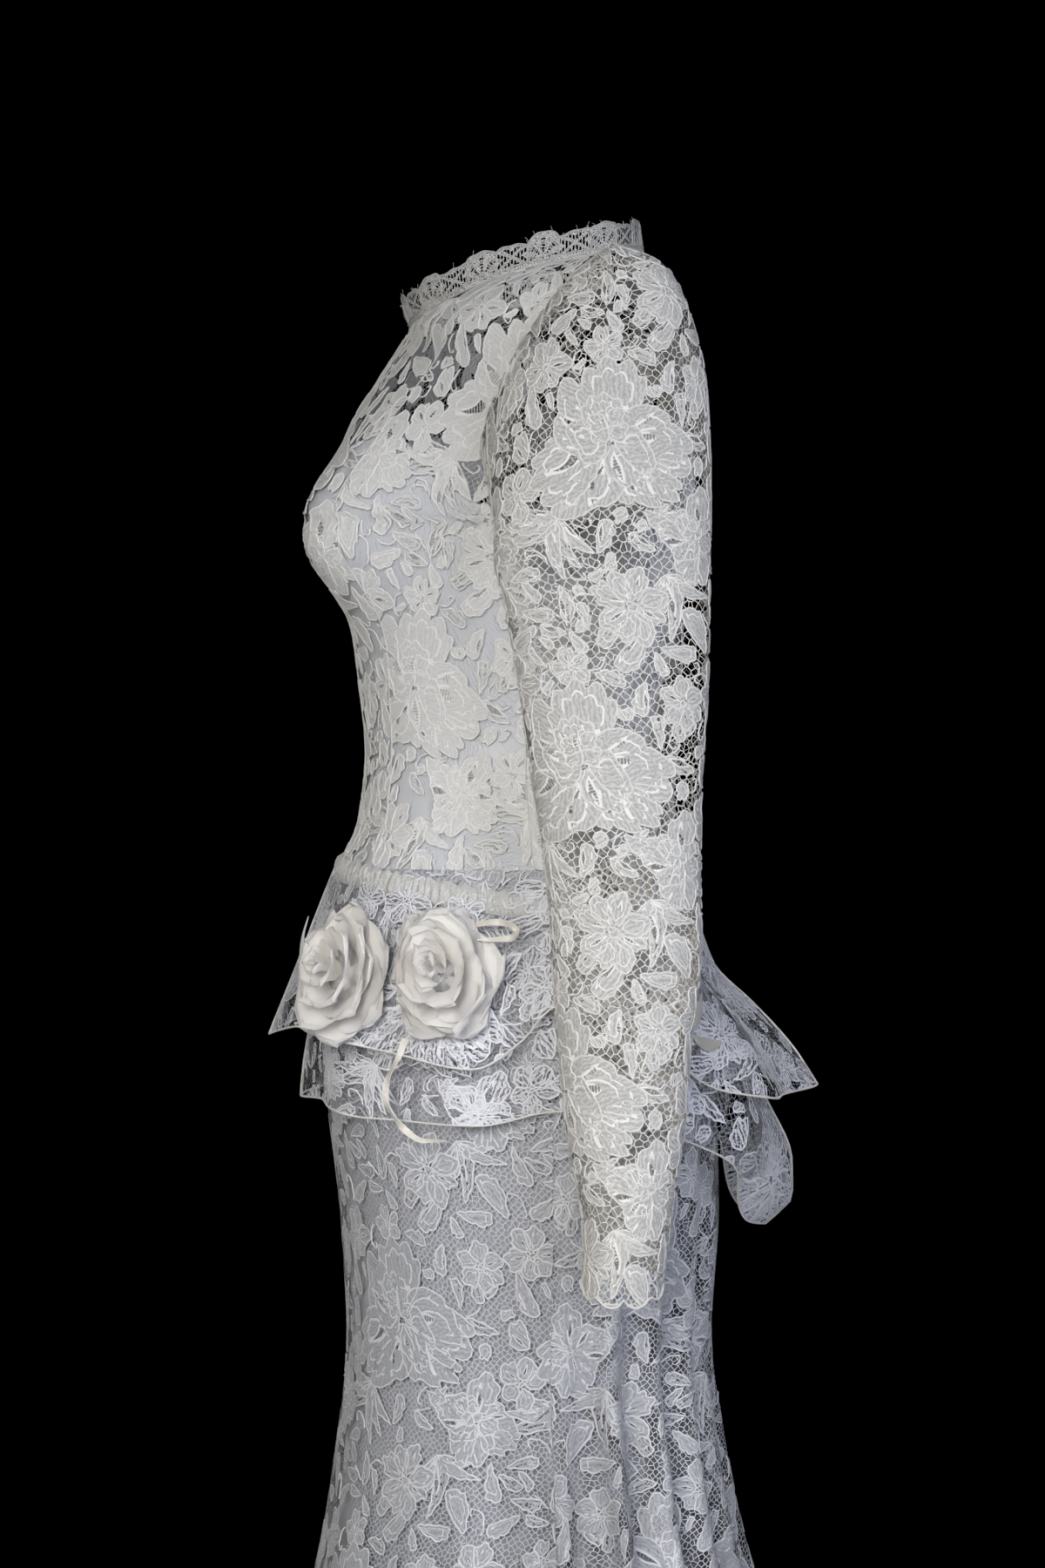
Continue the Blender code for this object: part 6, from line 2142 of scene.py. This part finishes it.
    def leaf(self, dress: Dress) -> None:
        """Makes the leaf behind the front rose."""
        width, cloth = self.leaf_width, self.strip(ROSE_LEAF, self.leaf_width, True)
        piece = shell_mesh("folded_leaf", cloth, 0.0, self.strip_thick, dress.plain["organza"])
        dress.settle(piece, "organza", "rose_leaf")
        length = cloth.flat_size()[1]
        area = max(cloth.area(), 0.31 * width * length)

    def ribbons(self, dress: Dress) -> None:
        """Makes the two ribbons."""
        ribbons = (("ribbon_tail", RIBBON_TAIL, "bare"), ("ribbon_loop", RIBBON_LOOP, "object"))
        for node, stops, far_end in ribbons:
            cloth, finish = self.strip(stops, self.ribbon_width, False), dress.plain["ribbon"]
            piece = shell_mesh("satin_" + node, cloth, 0.0, self.strip_thick, finish)
            dress.settle(piece, "ribbon", node)
            middle = cloth.points[:, 3]
            tuple(float(value) for value in middle[0])
            float(run_along(middle)[-1])
            [tuple(float(value) for value in point) for point in middle]

    def covered_buttons(self, dress: Dress) -> None:
        """Makes the row of covered buttons."""
        profile = table(2,
            0, 1, 0.35, 0.95, 0.65, 0.76, 0.88, 0.42, 1, 0, 0.93, -0.35, 0.7, -0.62, 0.55, -0.95, 0, -1)
        spin = np.arange(self.button_sides)
        turn, ahead = TAU / self.button_sides * spin, np.roll(spin, -1)
        last = 1 + (len(profile) - 2) * len(spin)
        end = last - len(spin)
        faces = [stack(0 * spin, 1 + spin, 1 + ahead)]
        for low in range(1, end, len(spin)):
            high = low + len(spin)
            faces.append(stack(low + spin, high + spin, high + ahead))
            faces.append(stack(low + spin, high + ahead, low + ahead))
        faces.append(stack(end + spin, 0 * spin + last, end + ahead))
        for k in range(self.buttons):
            v = np.array(self.top + (self.low - self.top) * k / (self.buttons - 1))
            here, above = FORM.body(Face.BACK, v, 0 * v), FORM.body(Face.BACK, v + 0.02, 0 * v)
            rise = unit(above - here)
            out = unit(np.cross(rise, np.array([1.0, 0.0, 0.0])))
            out = out if out[1] > 0 else -out
            centre, points = here + out * (self.button_half + 0.0001), []
            ring = np.cos(turn)[:, None] * np.array([1.0, 0, 0]) + np.sin(turn)[:, None] * rise
            for radius, height in profile:
                pucker = 1 + (0.02 * np.cos(10 * turn) if -0.7 < height < 0.1 else 0 * turn)
                level = centre + ring * (radius * self.button_radius * pucker)[:, None]
                points.append(level + out * height * self.button_half)
            joined = np.concatenate([points[0][:1], *points[1:-1], points[-1][:1]])
            node = f"button_{k + 1:02d}"
            piece = build_mesh("covered_" + node, joined, np.concatenate(faces), [dress.plain["satin"]])
            face_outwards(piece)
            dress.settle(piece, "button", node)

    def build(self, dress: Dress) -> None:
        """Makes the trims."""
        for size in ROSES:
            self.rose(dress, size)
        self.leaf(dress)
        self.ribbons(dress)
        self.back_petals(dress)
        self.covered_buttons(dress)


@dataclass
class Studio:
    """Pale floor, soft lights and the camera."""

    eye: tuple = (2.6, -0.024, -0.352)
    lens: float = 86.67

    def build(self, dress: Dress) -> None:
        """Sets the studio up."""
        turn = np.linspace(0, TAU, 96, endpoint=False)
        rim = stack(np.cos(turn), np.sin(turn), 0 * turn) * FLOOR_RADIUS
        rim[:, 2] = HEM - FLOOR_DROP
        floor = bpy.data.meshes.new("pale_floor")
        floor.from_pydata(rim.tolist(), [], [tuple(range(96))])
        floor.materials.append(dress.plain["floor"])
        put_in("pale_floor", floor)
        world = bpy.data.worlds.new("dark_room")
        world.use_nodes = True
        world.node_tree.nodes["Background"].inputs["Color"].default_value = (0.0, 0.0, 0.0, 1.0)
        bpy.context.scene.world = world
        self.lamp("key", (2.5, -0.65, 0.1), (0.05, 0.0, -0.62), 3.7, 1.3, (1.0, 0.985, 0.95), 0.75)
        self.lamp("side", (2.3, 1.3, 0.2), (0.0, 0.1, -0.5), 7.2, 1.3, (0.8, 0.85, 1.0), 1.4)
        self.lamp("low", (2.2, 0.4, -1.15), (0.0, 0.05, -0.95), 1.1, 1.2, (0.74, 0.83, 1.0))
        self.lamp("fill", (2.4, -0.9, 0.3), (0.0, 0.0, -0.5), 6.8, 1.6, (1.0, 0.98, 0.95))
        self.lamp("front", (0.2, -2.8, 0.3), (0.0, 0.0, -0.6), 4.5, 1.6, (1.0, 0.985, 0.96))
        self.lamp("far", (-2.7, 0.2, 0.7), (0.0, 0.0, -0.4), 45.0, 1.6, (0.97, 0.98, 1.0))
        camera = bpy.data.cameras.new("camera")
        camera.lens, camera.sensor_width, camera.sensor_fit = self.lens, 36.0, "AUTO"
        eye = put_in("camera", camera)
        eye.location, eye.rotation_euler = self.eye, (math.pi / 2, 0.0, math.pi / 2)
        scene = bpy.context.scene
        scene.camera = eye
        scene.view_settings.view_transform = "Standard"
        scene.cycles.transparent_max_bounces = 24

    @staticmethod
    def lamp(name: str, place: tuple, aim: tuple, power: float, size: float, colour: tuple,
            spread: float = math.pi) -> None:
        """Adds one soft lamp.

        Args:
            name: what the lamp is for.
            place: where it stands.
            aim: what it points at.
            power: watts.
            size: side of its square.
            colour: its light.
            spread: the angle that its light fills.
        """
        data = bpy.data.lights.new(name, "AREA")
        data.energy, data.size, data.color, data.spread = power, size, colour, spread
        lamp = put_in(name, data)
        lamp.location = place
        way = Vector(aim) - Vector(place)
        lamp.rotation_euler = way.to_track_quat("-Z", "Y").to_euler()


def main() -> None:
    """Builds the sub-assemblies in order."""
    logging.basicConfig(level=logging.INFO, format="%(message)s")
    dress = Dress()
    for part in (Studio(), Bodice(), Underdress(), Skirt(), Sleeves(), Peplum(), NeckEdging(), Trims()):
        LOG.info("building %s", type(part).__name__)
        part.build(dress)


if __name__ == "__main__":
    main()
